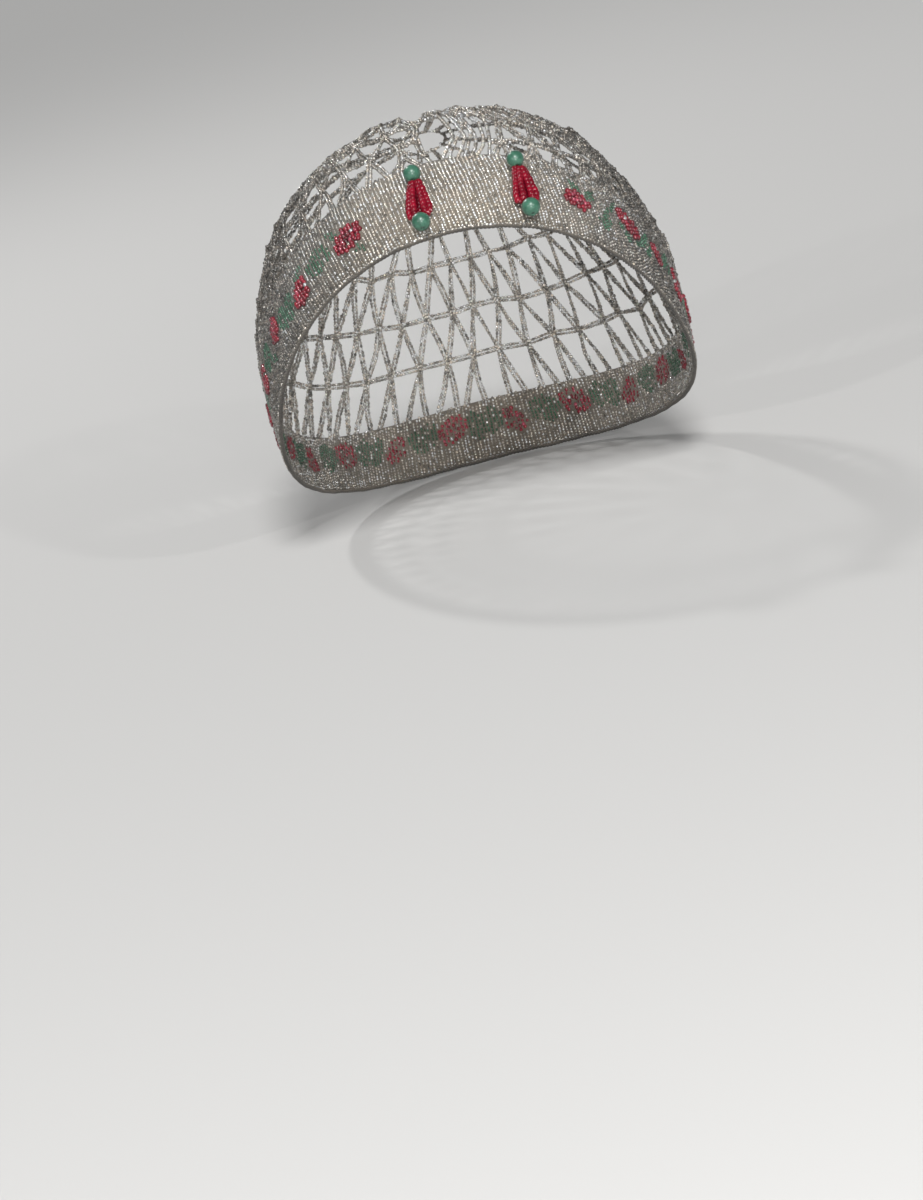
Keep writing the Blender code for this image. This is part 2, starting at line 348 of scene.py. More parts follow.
bpy.ops.object.select_all(action="DESELECT")
bpy.ops.mesh.primitive_cylinder_add(vertices=SEED_SIDES, radius=SEED_RADIUS * END_TAPER, depth=SEED_LENGTH)
seed = bpy.context.object
seed.name = "seed pattern"
pick_faces(seed, lambda face: False)
bpy.ops.mesh.select_mode(type="EDGE")
bpy.ops.object.mode_set(mode="OBJECT")
for edge in seed.data.edges:
    bottom, top = (seed.data.vertices[index].co.z for index in edge.vertices)
    edge.select = abs(top - bottom) > SEED_LENGTH / 2
bpy.ops.object.mode_set(mode="EDIT")
bpy.ops.mesh.subdivide(number_cuts=1)
bpy.ops.mesh.select_mode(type="VERT")
bpy.ops.mesh.select_all(action="DESELECT")
bpy.ops.object.mode_set(mode="OBJECT")
for corner in seed.data.vertices:
    corner.select = abs(corner.co.z) < SEED_LENGTH / 10
bpy.ops.object.mode_set(mode="EDIT")
bpy.ops.transform.resize(value=(1 / END_TAPER, 1 / END_TAPER, 1), center_override=(0, 0, 0))
bpy.ops.object.mode_set(mode="OBJECT")
seed_points = np.array([corner.co[:] for corner in seed.data.vertices])
seed_faces = [list(face.vertices) for face in seed.data.polygons]
seed_triangles = sum(len(face) - 2 for face in seed_faces)
bpy.data.objects.remove(seed, do_unlink=True)
print("one seed bead:", len(seed_points), "points,", seed_triangles, "triangles")

# %% [markdown]
# ## Copying a bead many times
# Each copy needs a centre, three directions, a size and a tint. All copies of one piece go into one mesh,
# written from arrays, which is much quicker than thousands of objects. Each bead carries its own tint
# as a point attribute: its colour, and in the fourth number how much silver shows through the glass.
# A second attribute holds painted shade between the beads: the points beside a neighbour, where one bead
# touches the next, are darker than those on the open faces of the beadwork.

# %% Join copies into one mesh
GAP_SHADE_RANGE = (0.40, 0.90)  # from the darkest painted shade to none, in radii of the bead


def write_attribute(mesh, name, kind, field, values):
    """Stores one value for each point of a mesh, under a name that a finish can read."""
    layer = mesh.attributes.new(name, kind, "POINT")
    layer.data.foreach_set(field, np.asarray(values).astype(np.float32).ravel())


def painted_gap_shade(placed, centres, sizes, outward, gap_shade):
    """Painted shade at each point: 1 on the two faces of the beadwork, down to the gap level where beads touch."""
    reach = np.abs(np.einsum("npj,nj->np", placed - centres[:, None, :], outward)) / (SEED_RADIUS * sizes[:, None])
    return gap_shade[:, None] + (1 - gap_shade[:, None]) * np.interp(reach, GAP_SHADE_RANGE, (0, 1))


def bead_mesh(name, pattern, centres, axes, sizes, tints, finish, nodes, outward=None, gap_shade=None):
    """One piece from many copies of a pattern: centres N x 3, axes N x 3 x 3 as rows, sizes N, tints N x 4."""
    points, faces = pattern
    placed = np.einsum("pk,nkj->npj", points, axes) * sizes[:, None, None] + centres[:, None, :]
    count = len(centres)
    if outward is None:
        painted_shade_level = np.ones((count, len(points)))
    else:
        painted_shade_level = painted_gap_shade(placed, centres, sizes, outward, gap_shade)
    corner_row = np.concatenate([np.array(face) for face in faces])
    corners = (corner_row[None, :] + (np.arange(count) * len(points))[:, None]).ravel()
    start_row = np.concatenate([[0], np.cumsum([len(face) for face in faces])[:-1]])
    starts = (start_row[None, :] + (np.arange(count) * len(corner_row))[:, None]).ravel()
    mesh = bpy.data.meshes.new(name)
    mesh.vertices.add(count * len(points))
    mesh.vertices.foreach_set("co", placed.astype(np.float32).ravel())
    mesh.loops.add(len(corners))
    mesh.loops.foreach_set("vertex_index", corners.astype(np.int32))
    mesh.polygons.add(len(starts))
    mesh.polygons.foreach_set("loop_start", starts.astype(np.int32))
    mesh.update(calc_edges=True)
    mesh.validate()
    mesh.shade_smooth()
    write_attribute(mesh, "bead_tint", "FLOAT_COLOR", "color", np.repeat(tints, len(points), axis=0))
    write_attribute(mesh, "bead_clean", "FLOAT", "value", painted_shade_level)
    piece = bpy.data.objects.new(name, mesh)
    bpy.context.scene.collection.objects.link(piece)
    mesh.materials.append(finish)
    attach(piece, "root")
    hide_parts(*nodes)
    print(name, count, "beads,", count * sum(len(face) - 2 for face in faces), "triangles")


def bead_axes(along, outward, roll):
    """Directions for beads whose bores follow along, each rolled about its own bore."""
    side = unit(np.cross(outward, along))
    third = np.cross(along, side)
    first = side * np.cos(roll)[:, None] + third * np.sin(roll)[:, None]
    return np.stack([first, np.cross(along, first), along], axis=1)


# %% [markdown]
# ## The bead glass
# Silver-lined beads are clear glass tubes with a mirror coat inside the bore. The eye sees a grey metal
# glow under a sharp glass highlight, and old linings tarnish unevenly, so the tint differs from bead to
# bead. The coloured beads of the pattern have hardly any lining: their fourth tint number turns most of the
# metal off. A painted shade attribute multiplies both a point's colour and its clear coat, so the gaps are dark and
# have no shine.

# %% Finish of the seed beads
GRIME_SCALE = 900.0  # spots of about 1.1 mm, which is one bead
GRIME_RANGE = (0.3, 0.75)
GRIME_LEVELS = (1.1, 0.72)
GRIME_ROUGHNESS = (0.8, 1.6)
SEED_ROUGHNESS = 0.25
COAT_ROUGHNESS = 0.06
BEAD_IOR = 1.52


def bead_glass(name, roughness, coat):
    """Bead glass: its colour and metal come from the tint, with fine grime that dulls it in places."""
    finish, tree, shader = new_material(name, roughness)
    tint = add_node(tree, "ShaderNodeAttribute", attribute_name="bead_tint")
    coords = add_node(tree, "ShaderNodeTexCoord")
    grime = add_node(tree, "ShaderNodeTexNoise", [(coords.outputs["Object"], "Vector")],
                     in_Scale=GRIME_SCALE, in_Detail=2.0)
    dull = add_node(tree, "ShaderNodeMapRange", [(grime.outputs["Fac"], "Value")],
                    in_From_Min=GRIME_RANGE[0], in_From_Max=GRIME_RANGE[1],
                    in_To_Min=GRIME_LEVELS[0], in_To_Max=GRIME_LEVELS[1])
    painted_shade_level = add_node(tree, "ShaderNodeAttribute", attribute_name="bead_clean")
    level = add_node(tree, "ShaderNodeMath", [(dull.outputs["Result"], 0), (painted_shade_level.outputs["Fac"], 1)],
                     operation="MULTIPLY")
    shade = add_node(tree, "ShaderNodeVectorMath", [(tint.outputs["Color"], 0), (level.outputs["Value"], "Scale")],
                     operation="SCALE")
    clear = add_node(tree, "ShaderNodeMath", [(painted_shade_level.outputs["Fac"], 0)], operation="MULTIPLY")
    clear.inputs[1].default_value = coat
    rough = add_node(tree, "ShaderNodeMapRange", [(grime.outputs["Fac"], "Value")],
                     in_From_Min=GRIME_RANGE[0], in_From_Max=GRIME_RANGE[1],
                     in_To_Min=roughness * GRIME_ROUGHNESS[0], in_To_Max=roughness * GRIME_ROUGHNESS[1])
    tree.links.new(shade.outputs["Vector"], shader.inputs["Base Color"])
    tree.links.new(tint.outputs["Alpha"], shader.inputs["Metallic"])
    tree.links.new(rough.outputs["Result"], shader.inputs["Roughness"])
    tree.links.new(clear.outputs["Value"], shader.inputs["Coat Weight"])
    shader.inputs["Coat Roughness"].default_value = COAT_ROUGHNESS
    shader.inputs["Coat IOR"].default_value = BEAD_IOR
    return finish


band_glass = bead_glass("silver-lined seed bead glass", SEED_ROUGHNESS, 1.0)
net_glass = bead_glass("silver-lined net bead glass, painted side shade", SEED_ROUGHNESS, 1.0)

# %% Tints of the silver beads
SEED = 1925
SILVER = np.array(linear("#CBC4BA"))
LINING = 0.70
# The silver darkens towards the sides of the cap as painted shade, darkest at the sides and lighter again towards
# the back.
SIDE_SHADE_MIDDLE = 5.0
SIDE_SHADE_TURNS = (0, 12, 28, 50, 72, 95, 140, 180)
SIDE_SHADE_SHARES = (0, 0.05, 0.50, 1.0, 1.0, 0.60, 0.30, 0.15)
LEVEL_LIMITS = (0.5, 1.5)
DARK_BEAD = 0.5
# Beads picked at random are made much brighter: partly uneven tone, partly painted highlight that stands in for
# glints.
GLINT_BEAD = 2.1
WARM_SPREAD = 0.03
LIGHTEST = 0.95
chance = np.random.default_rng(SEED)


def side_shade_at(turns):
    """How much painted shade the silver gets at each turn: 0 bright, 1 darkest to the sides."""
    away = np.abs((turns - SIDE_SHADE_MIDDLE + 180) % 360 - 180)
    return np.interp(away, SIDE_SHADE_TURNS, SIDE_SHADE_SHARES)


def silver_tints(turns, front, side, spread, dark_share, glint_share):
    """Tints of silver-lined beads: bright at the front, darker to the sides as painted shade, and a little uneven.
    """
    count = len(turns)
    level = (front + (side - front) * side_shade_at(turns)) * chance.normal(1.0, spread, count).clip(*LEVEL_LIMITS)
    lot = chance.random(count)
    level = np.where(lot < dark_share, level * DARK_BEAD, level)
    level = np.where(lot > 1 - glint_share, level * GLINT_BEAD, level)
    warm = chance.normal(0, WARM_SPREAD, count)
    colour = SILVER[None, :] * level[:, None] * np.stack([1 + warm, np.ones(count), 1 - warm], axis=1)
    return np.concatenate([colour.clip(0, LIGHTEST), np.full((count, 1), LINING)], axis=1)


# the level of painted side shade at three turns
print("tarnish at 0, 45 and 90 degrees:", [round(float(side_shade_at(turn)), 2) for turn in (0, 45, 90)])

# %% [markdown]
# ## The flower pattern
# The band is worked column by column: each column is one upright string of beads, and the maker counts
# coloured beads into it from a chart. The charts are drawn with one letter for each bead: R red,
# D deep red, P pink, G green, L light green, S a silver bead inside a flower, and a dot where the silver
# goes on. The leaves use the band's own columns and rows, with stray silver beads among the green ones.
# The flowers are of larger beads on a grid of their own, in which every second column stands half a bead
# higher, as that gives them a closer, rounder outline. The strings lean, so a small table gives their lean
# at each turn and every chart follows it. Two flowers and two beds of leaves repeat round the back.

# %% Charts and their places
FLOWER = (
    "...RRRR.",
    ".RRPRRRR",
    ".RRDRSPR",
    "RRPRDRRR",
    "RRRDPRR.",
    "RPRSRRR.",
    ".RRRR...",
)
HALF_OPEN_FLOWER = (
    "...RRR",
    "..RRDR",
    ".RPRRR",
    ".RRD.S",
    "RRDRRR",
    "RPRRRR",
    ".RRR..",
)
SMALL_FLOWER = (
    "..RRR..",
    ".RPPRR.",
    "RRDRPRR",
    "RRPPDPR",
    ".RRRRR.",
    "...RR..",
)
SIDE_FLOWER = (
    "RRRR...",
    "RRSRRR.",
    "RRPDRRR",
    ".RRDPRR",
    "..RRRRR",
    "...RRR.",
)
BUD = (
    "RR..",
    "RPR.",
    ".RDR",
    ".RRR",
    "..RR",
)
CLOSED_FLOWER = (
    "...RR",
    "..RPR",
    ".RRDR",
    ".RPRR",
    "RRDRR",
    "RRRR.",
    ".RR..",
)
FALLING_LEAVES = (
    "....GGGG.",
    "..GGGGGGG",
    ".GGLGGGGG",
    "GGGGGG.GG",
    "GGGG.GGGG",
    "GGLGG.GGG",
    ".GGGGG.GG",
    ".GGGGL.G.",
    "..GGGG...",
    "...GG....",
)
LEAF_BED = (
    "..GG...GG.",
    ".GGGG.GGLG",
    "GGLGGGGGGG",
    "GGGGLGGGGG",
    "GGGGGGGGLG",
    "GLGGGGLGGG",
    "GGGGLGGGGG",
    ".GGGGGGLGG",
    "..GG.GGGG.",
    "...G..GG..",
)
RISING_LEAVES = (
    ".......GG",
    "......GGG",
    ".....GGL.",
    "....GGG.G",
    "...GLGG.G",
    "..GGGG.GG",
    ".GGLG.GG.",
    "GGGG.GLG.",
    "GG...GG..",
)
STEM = (
    ".........G",
    "........GL",
    ".......GG.",
    "......GG..",
    ".....GG...",
    "....LG....",
    "....G.....",
    "...GG.....",
    "..GG......",
    ".GG.......",
    "GG........",
)
SMALL_LEAF = (
    "GL..",
    "GGG.",
    ".GLG",
    ".GGG",
    "..LG",
)
PLACED_FLOWERS = (
    (FLOWER, -20.8, 16.6, False), (HALF_OPEN_FLOWER, -36.8, 13.8, False), (CLOSED_FLOWER, -51.4, 18.0, False),
    (HALF_OPEN_FLOWER, -68.5, 17.2, False), (FLOWER, -84.0, 16.2, True),
    (SMALL_FLOWER, 31.6, 17.6, False), (SIDE_FLOWER, 46.9, 19.2, False), (BUD, 58.0, 16.8, False),
    (HALF_OPEN_FLOWER, 71.0, 15.6, True), (FLOWER, 85.0, 16.8, False),
)
PLACED_LEAVES = (
    (SMALL_LEAF, -18.6, 9.4, False), (SMALL_LEAF, -24.6, 22.6, False), (FALLING_LEAVES, -29.2, 17.4, False),
    (SMALL_LEAF, -36.8, 21.8, True), (LEAF_BED, -44.0, 15.4, False), (SMALL_LEAF, -55.6, 12.0, False),
    (FALLING_LEAVES, -60.6, 18.0, False), (LEAF_BED, -76.4, 16.0, True),
    (SMALL_LEAF, 36.4, 22.4, True), (SMALL_LEAF, 32.6, 25.6, False), (STEM, 40.6, 19.4, False),
    (SMALL_LEAF, 39.4, 12.6, True), (SMALL_LEAF, 45.0, 13.2, False), (RISING_LEAVES, 52.0, 17.2, False),
    (RISING_LEAVES, 64.0, 19.0, False), (LEAF_BED, 78.0, 15.4, False), (FALLING_LEAVES, 92.6, 17.0, True),
)
BACK_FLOWERS = ((FLOWER, 0.0, 16.0), (HALF_OPEN_FLOWER, 15.0, 14.0))
BACK_LEAVES = ((FALLING_LEAVES, 7.6, 14.8), (LEAF_BED, 22.4, 15.0))
BACK_START = 100.0
BACK_STEP = 30.0
BACK_END = 268.0
# P, the pink bead, is painted highlight: pink beads scattered in the flowers stand in for glints on the red glass.
CHART_COLOURS = {"R": "#8B192C", "D": "#640F1E", "P": "#AC485B", "G": "#3F6E53", "L": "#668E76"}
CHART_LINING = {"R": 0.10, "D": 0.10, "P": 0.15, "G": 0.45, "L": 0.55}
print("charts in the front half:", len(PLACED_FLOWERS), "of flowers and", len(PLACED_LEAVES), "of leaves")

# %% Strings, rows and their lean
BAND_COLUMNS = 430
COLUMN_STEP = 360 / BAND_COLUMNS
ROW_STEP = 0.00118
BAND_FOOT = 0.0022
FLOWER_COLUMN = 1.12 * COLUMN_STEP
FLOWER_ROW = 0.00150
LEAN_MIDDLE = 0.015
LEAN_TURNS = (-180, -115, -60, -40, -20, 0, 16, 30, 45, 62, 110, 180)
LEAN_RATES = (0, 0, -230, -195, -137, -80, -38, -18, -60, -80, 0, 0)


def lean_rate(turn):
    """How far the strings lean at a turn, in degrees of turn for each metre of height."""
    return np.interp((np.asarray(turn) + 180) % 360 - 180, LEAN_TURNS, LEAN_RATES)


def leaned(turn, height):
    """The turn that a string reaches at a height, when it crosses the middle of the band at the given turn."""
    return turn + lean_rate(turn) * (height - LEAN_MIDDLE)


def upright(turn, height):
    """The turn at which a string crosses the middle of the band, when it passes the given place."""
    return turn - lean_rate(turn) * (height - LEAN_MIDDLE)


print("one string takes", round(COLUMN_STEP, 3), "degrees; at -60 they lean", lean_rate(-60.0), "degrees a metre")

# %% Read the charts
BACK_REPEATS = 6


def with_back(places, repeats):
    """The places near the front, and the repeats that fill the back."""
    everywhere = list(places)
    for repeat in range(BACK_REPEATS):
        for chart, turn, height in repeats:
            middle = BACK_START + repeat * BACK_STEP + turn
            if middle < BACK_END:
                everywhere.append((chart, middle, height, repeat % 2 == 1))
    return everywhere


def leaf_letters():
    """The letter at each column and row of the band, from the leaf charts at their places."""
    letters = {}
    for chart, turn, height, mirrored in with_back(PLACED_LEAVES, BACK_LEAVES):
        middle = float(upright(turn, height / 1000)) / COLUMN_STEP
        for line_number, line in enumerate(chart):
            row = round((height / 1000 - BAND_FOOT) / ROW_STEP + len(chart) / 2 - line_number)
            for place, letter in enumerate(line[::-1] if mirrored else line):
                column = round(middle - len(line) / 2 + place) % BAND_COLUMNS
                if letter != ".":
                    letters[(column, row)] = letter
    return letters


def flower_places():
    """Turn, height and letter of every bead of the flowers, in columns of their own that sit half a bead apart."""
    found = []
    for chart, turn, height, mirrored in with_back(PLACED_FLOWERS, BACK_FLOWERS):
        for line_number, line in enumerate(chart):
            level = height / 1000 + ((len(chart) - 1) / 2 - line_number) * FLOWER_ROW
            for place, letter in enumerate(line[::-1] if mirrored else line):
                if letter != ".":
                    aside = (place - (len(line) - 1) / 2) * FLOWER_COLUMN
                    string = float(upright(turn, height / 1000)) + aside
                    place_up = level + FLOWER_ROW / 2 * (place % 2)
                    found.append((float(leaned(string, place_up)), place_up, letter))
    return found


letters = leaf_letters()
flowers = flower_places()
print("green beads charted:", len(letters), "and red ones:", len(flowers))

# %% [markdown]
# ## The band of beads
# There are 430 strings of beads side by side round the cap. They aren't ruled lines: they lean, most of
# all left of the front, each sways a little and starts its rows at a height of its own, beads sit at slightly
# different depths and turns, and the strings end raggedly at the top. That unevenness is what breaks the
# light into separate points. Towards the sides the gaps between the beads get darker painted shade as well.

# %% String the band
BEAD_DEPTH = 0.00075
SWAY = 0.08
SWAY_WAVES = 420  # radians of sway for each metre up, or one wave in 15 mm
COLUMN_SHIFT = 0.05
BEAD_SHIFT = 0.03
BEAD_SCATTER = 0.00005
TOP_GAP = 0.0004
TOP_SCATTER = 0.0003
SILVER_AMONG_GREEN = (0.03, 0.20)
METRES_PER_DEGREE = 0.00145
ROUND_FLOWER_BEAD = 0.00124


def band_beads():
    """Turn, height, depth, letter and string of every silver and green bead of the band."""
    rows = []
    phase = chance.random(BAND_COLUMNS) * 2 * pi
    start = chance.uniform(-0.5, 0.5, BAND_COLUMNS) * ROW_STEP
    for column in range(BAND_COLUMNS):
        turn = column * COLUMN_STEP + chance.normal(0, COLUMN_SHIFT)
        top = float(band_width(turn)) - TOP_GAP + chance.normal(0, TOP_SCATTER)
        for row in range(int((top - BAND_FOOT) / ROW_STEP) + 1):
            height = BAND_FOOT + start[column] + row * ROW_STEP + chance.normal(0, BEAD_SCATTER)
            sway = SWAY * sin(height * SWAY_WAVES + phase[column]) + chance.normal(0, BEAD_SHIFT)
            letter = letters.get((column, row), ".")
            if chance.random() < SILVER_AMONG_GREEN[column % 2]:
                letter = "."
            place = float(leaned(turn, height)) + sway
            rows.append((place, height, BEAD_DEPTH + chance.normal(0, BEAD_SCATTER), letter, column))
    turns, heights, depths, marks, columns = (np.array(part) for part in zip(*rows))
    free = np.ones(len(turns), bool)
    for turn, height, letter in flowers:
        aside = ((turns - turn + 180) % 360 - 180) * METRES_PER_DEGREE
        free &= np.hypot(aside, heights - height) > ROUND_FLOWER_BEAD
    return turns[free], heights[free], depths[free], marks[free], columns[free]


turns, heights, depths, marks, columns = band_beads()
plain_count = len(turns)
print("beads in the strings:", plain_count)

# %% Add the flowers' beads
STRING_SPREAD = 0.07
FLOWER_SHIFT = 0.10
FLOWER_SCATTER = 0.00017
FLOWER_RISE = 0.00036
FLOWER_DEPTH_SCATTER = 0.00012

string_level = chance.normal(1.0, STRING_SPREAD, BAND_COLUMNS)[columns]
turns = np.concatenate([
    turns, [place[0] for place in flowers] + chance.normal(0, FLOWER_SHIFT, len(flowers))])
heights = np.concatenate([
    heights, [place[1] for place in flowers] + chance.normal(0, FLOWER_SCATTER, len(flowers))])
depths = np.concatenate([
    depths, BEAD_DEPTH - FLOWER_RISE + chance.normal(0, FLOWER_DEPTH_SCATTER, len(flowers))])
marks = np.concatenate([marks, [place[2] for place in flowers]])
string_level = np.concatenate([string_level, np.ones(len(flowers))])
print("beads in the band:", len(turns))

# %% Tint the band
# front and side levels of the band: the side level is painted shade
BAND_LEVELS = (1.24, 0.62)
BAND_SPREAD = 0.20
SIDE_SHADE_SPREAD = 0.16
BAND_DARK_SHARE = 0.12
BAND_GLINT_SHARE = 0.24
# painted shade in the gaps between the band's beads: lighter at the front, darker to the sides, one level for
# charted beads
FRONT_GAP_SHADE = 0.84
SIDE_GAP_SHADE = 0.16
CHART_GAP_SHADE = 0.60
PATCHES = 0.10
COLOUR_SPREAD = 0.20
SILVER_IN_FLOWER = 0.72

side_shade = side_shade_at(turns)
tint = silver_tints(turns, *BAND_LEVELS, BAND_SPREAD + SIDE_SHADE_SPREAD * side_shade, BAND_DARK_SHARE,
                    BAND_GLINT_SHARE)
gap_shade = np.where(marks == ".", FRONT_GAP_SHADE + (SIDE_GAP_SHADE - FRONT_GAP_SHADE) * side_shade, CHART_GAP_SHADE)
round_cap = np.radians(turns)
patch = 1 + PATCHES * np.sin(round_cap * 5 + heights * 130) * np.cos(round_cap * 11 - heights * 90)
tint[:, :3] = (tint[:, :3] * (patch * string_level)[:, None]).clip(0, LIGHTEST)
for letter, code in CHART_COLOURS.items():
    chosen = marks == letter
    level = chance.normal(1.0, COLOUR_SPREAD, chosen.sum()).clip(*LEVEL_LIMITS)
    tint[chosen, :3] = np.array(linear(code))[None, :] * level[:, None]
    tint[chosen, 3] = CHART_LINING[letter]
tint[marks == "S", :3] *= SILVER_IN_FLOWER
print("green and red beads in the band:", int(np.isin(marks, list(CHART_COLOURS)).sum()))

# %% Set the band's beads
LEAN_SPREAD = 0.07
FLOWER_LEAN_SPREAD = 0.30
FLOWER_SEED = 5
BAND_BEAD_SIZE = 0.95
SIZE_SPREAD = 0.045
SIZE_LIMITS = (0.82, 1.10)
FLOWER_BEAD_SIZE = 1.64

centres, across, upward, outward = cap_frames(turns, heights, depths)
lean = chance.normal(0, LEAN_SPREAD, (len(turns), 2))
lean[:, 0] += lean_rate(turns) * METRES_PER_DEGREE
lean[plain_count:] += np.random.default_rng(FLOWER_SEED).normal(0, FLOWER_LEAN_SPREAD, (len(flowers), 2))
along = unit(upward + across * lean[:, :1] + outward * lean[:, 1:])
axes = bead_axes(along, outward, chance.random(len(turns)) * 2 * pi)
sizes = chance.normal(BAND_BEAD_SIZE, SIZE_SPREAD, len(turns)).clip(*SIZE_LIMITS)
sizes[plain_count:] *= FLOWER_BEAD_SIZE / BAND_BEAD_SIZE
seed_pattern = (seed_points, seed_faces)
for number, (start, end) in enumerate(((0, 120), (120, 240), (240, 360)), 1):
    part = (turns % 360 >= start) & (turns % 360 < end)
    bead_mesh(f"band_beads_{number}", seed_pattern, centres[part], axes[part], sizes[part], tint[part], band_glass,
              ["beaded_band"], outward[part], gap_shade[part])

# %% [markdown]
# ## The thread under the beads
# The strings are knotted onto a ground of warm beige thread, which shows as a fine line between the
# columns. It is one thin sheet in the middle of the beads' depth, so that the beads stand out of it on
# both faces, with ribs of twisted thread in its bump. The map of the cap goes into its UV: across, one
# unit is one column of beads, and upwards it is one millimetre. An attribute darkens the thread towards
# the sides, as painted shade that follows the silver's.

# %% Finish of the thread
THREAD_ROUGHNESS = 0.86
PLY_SCALE = 1.7  # plies for each rib
FIBRE_SCALE = 1400.0  # loose fibres, 0.7 mm apart: real ones are finer, and these are as fine as the render shows
STAIN_SCALE = 40.0  # stains of about 25 mm
THREAD_RAMP = (0.12, 0.62)
THREAD_RELIEF = 0.0002
THREAD_SHEEN = 0.25
SHEEN_ROUGHNESS = 0.6


def thread_finish(name, light, dark, ribs, twist, strength):
    """Twisted cotton: ribs run up the UV, each with the slant of its ply, and loose fibres blur the colour."""
    finish, tree, shader = new_material(name, THREAD_ROUGHNESS)
    coords = add_node(tree, "ShaderNodeTexCoord")
    place = add_node(tree, "ShaderNodeMapping", [(coords.outputs["UV"], "Vector")],
                     in_Rotation=(0, 0, radians(twist)))
    rib = add_node(tree, "ShaderNodeTexWave", [(coords.outputs["UV"], "Vector")], bands_direction="X",
                   in_Scale=ribs, in_Distortion=0.8, in_Detail=1.0)
    ply = add_node(tree, "ShaderNodeTexWave", [(place.outputs["Vector"], "Vector")], bands_direction="Y",
                   in_Scale=ribs * PLY_SCALE, in_Distortion=1.2, in_Detail=1.0)
    fibre = add_node(tree, "ShaderNodeTexNoise", [(coords.outputs["Object"], "Vector")],
                     in_Scale=FIBRE_SCALE, in_Detail=4.0)
    stain = add_node(tree, "ShaderNodeTexNoise", [(coords.outputs["Object"], "Vector")],
                     in_Scale=STAIN_SCALE, in_Detail=3.0)
    both = add_node(tree, "ShaderNodeMath", [(rib.outputs["Fac"], 0), (ply.outputs["Fac"], 1)],
                    operation="MULTIPLY")
    mixed = add_node(tree, "ShaderNodeMath", [(both.outputs["Value"], 0), (fibre.outputs["Fac"], 1)],
                     operation="ADD")
    aged = add_node(tree, "ShaderNodeMath", [(mixed.outputs["Value"], 0), (stain.outputs["Fac"], 1)],
                    operation="MULTIPLY")
    ramp = add_node(tree, "ShaderNodeValToRGB", [(aged.outputs["Value"], "Fac")])
    for element, stop, code in zip(ramp.color_ramp.elements, THREAD_RAMP, (dark, light)):
        element.position = stop
        element.color = (*linear(code), 1)
    bump = add_node(tree, "ShaderNodeBump", [(mixed.outputs["Value"], "Height")],
                    in_Strength=strength, in_Distance=THREAD_RELIEF)
    painted_shade_level = add_node(tree, "ShaderNodeAttribute", attribute_name="thread_clean")
    shade = add_node(tree, "ShaderNodeVectorMath", [(ramp.outputs["Color"], 0), (painted_shade_level.outputs["Fac"], "Scale")],
                     operation="SCALE")
    tree.links.new(shade.outputs["Vector"], shader.inputs["Base Color"])
    tree.links.new(bump.outputs["Normal"], shader.inputs["Normal"])
    shader.inputs["Sheen Weight"].default_value = THREAD_SHEEN
    shader.inputs["Sheen Roughness"].default_value = SHEEN_ROUGHNESS
    return finish


ground_thread = thread_finish("twisted cotton ground", "#988D7C", "#4A4238", 1.0, 32, 0.7)
print("thread finish:", len(ground_thread.node_tree.nodes), "nodes")

# %% Ground of thread
GROUND_DEPTH = 0.00070
GROUND_THICKNESS = 0.0002
GROUND_COLUMNS = 172
GROUND_LEVELS = 12
GROUND_FOOT = 0.0019
GROUND_TOP_GAP = 0.0002
SIDE_THREAD_SHADE = 0.84


def paint_thread_shade(piece, levels):
    """Writes the painted shade of the thread at each point, a level that the thread finish multiplies into its
    colour.
    """
    write_attribute(piece.data, "thread_clean", "FLOAT", "value", levels)


def closed_sheet(name, turn_count, height_rows, depth):
    """A sheet round the cap at the heights that height_rows gives: its UV is in bead strings and millimetres."""
    turns = np.arange(turn_count) * 360 / turn_count
    rows = [height_rows(turn) for turn in turns]
    levels = len(rows[0])
    points = cap_frames(np.repeat(turns, levels), np.concatenate(rows), np.full(turn_count * levels, depth))[0]
    faces = []
    for column in range(turn_count):
        after = (column + 1) % turn_count
        for level in range(levels - 1):
            faces.append((column * levels + level, after * levels + level, after * levels + level + 1,
                          column * levels + level + 1))
    mesh = bpy.data.meshes.new(name)
    mesh.from_pydata(points.tolist(), [], faces)
    layer = mesh.uv_layers.new(name="cap_map")
    for face in mesh.polygons:
        column, level = divmod(face.index, levels - 1)
        for corner, (aside, above) in zip(face.loop_indices, ((0, 0), (1, 0), (1, 1), (0, 1))):
            height = rows[(column + aside) % turn_count][level + above]
            string = upright(turns[column] + aside * 360 / turn_count, height) / COLUMN_STEP
            layer.data[corner].uv = (float(string), height * 1000)
    sheet = bpy.data.objects.new(name, mesh)
    bpy.context.scene.collection.objects.link(sheet)
    mesh.shade_smooth()
    return sheet


def thicken(sheet, thickness):
    """Gives a sheet its thickness, inwards."""
    only(sheet)
    wall = sheet.modifiers.new("wall", "SOLIDIFY")
    wall.thickness = thickness
    wall.offset = -1
    bpy.ops.object.modifier_apply(modifier=wall.name)


ground = closed_sheet("thread_ground", GROUND_COLUMNS, lambda turn: np.linspace(
    GROUND_FOOT, float(band_width(turn)) - GROUND_TOP_GAP, GROUND_LEVELS + 1), GROUND_DEPTH)
ground_turns = np.repeat(np.arange(GROUND_COLUMNS) * 360 / GROUND_COLUMNS, GROUND_LEVELS + 1)
paint_thread_shade(ground, 1 - SIDE_THREAD_SHADE * side_shade_at(ground_turns))
thicken(ground, GROUND_THICKNESS)
ground.data.materials.append(ground_thread)
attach(ground, "root")
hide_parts("beaded_band")
print("thread ground:", len(ground.data.polygons), "faces")

# %% [markdown]
# ## Strings for the net
# A net string is a path on the cap, given as turns and heights above the band. Most strings of the net
# are double: two strings of beads that twist slowly round each other. The path is cut into short steps,
# the twist moves each string to its side of the path, and beads are set along it one against the next.

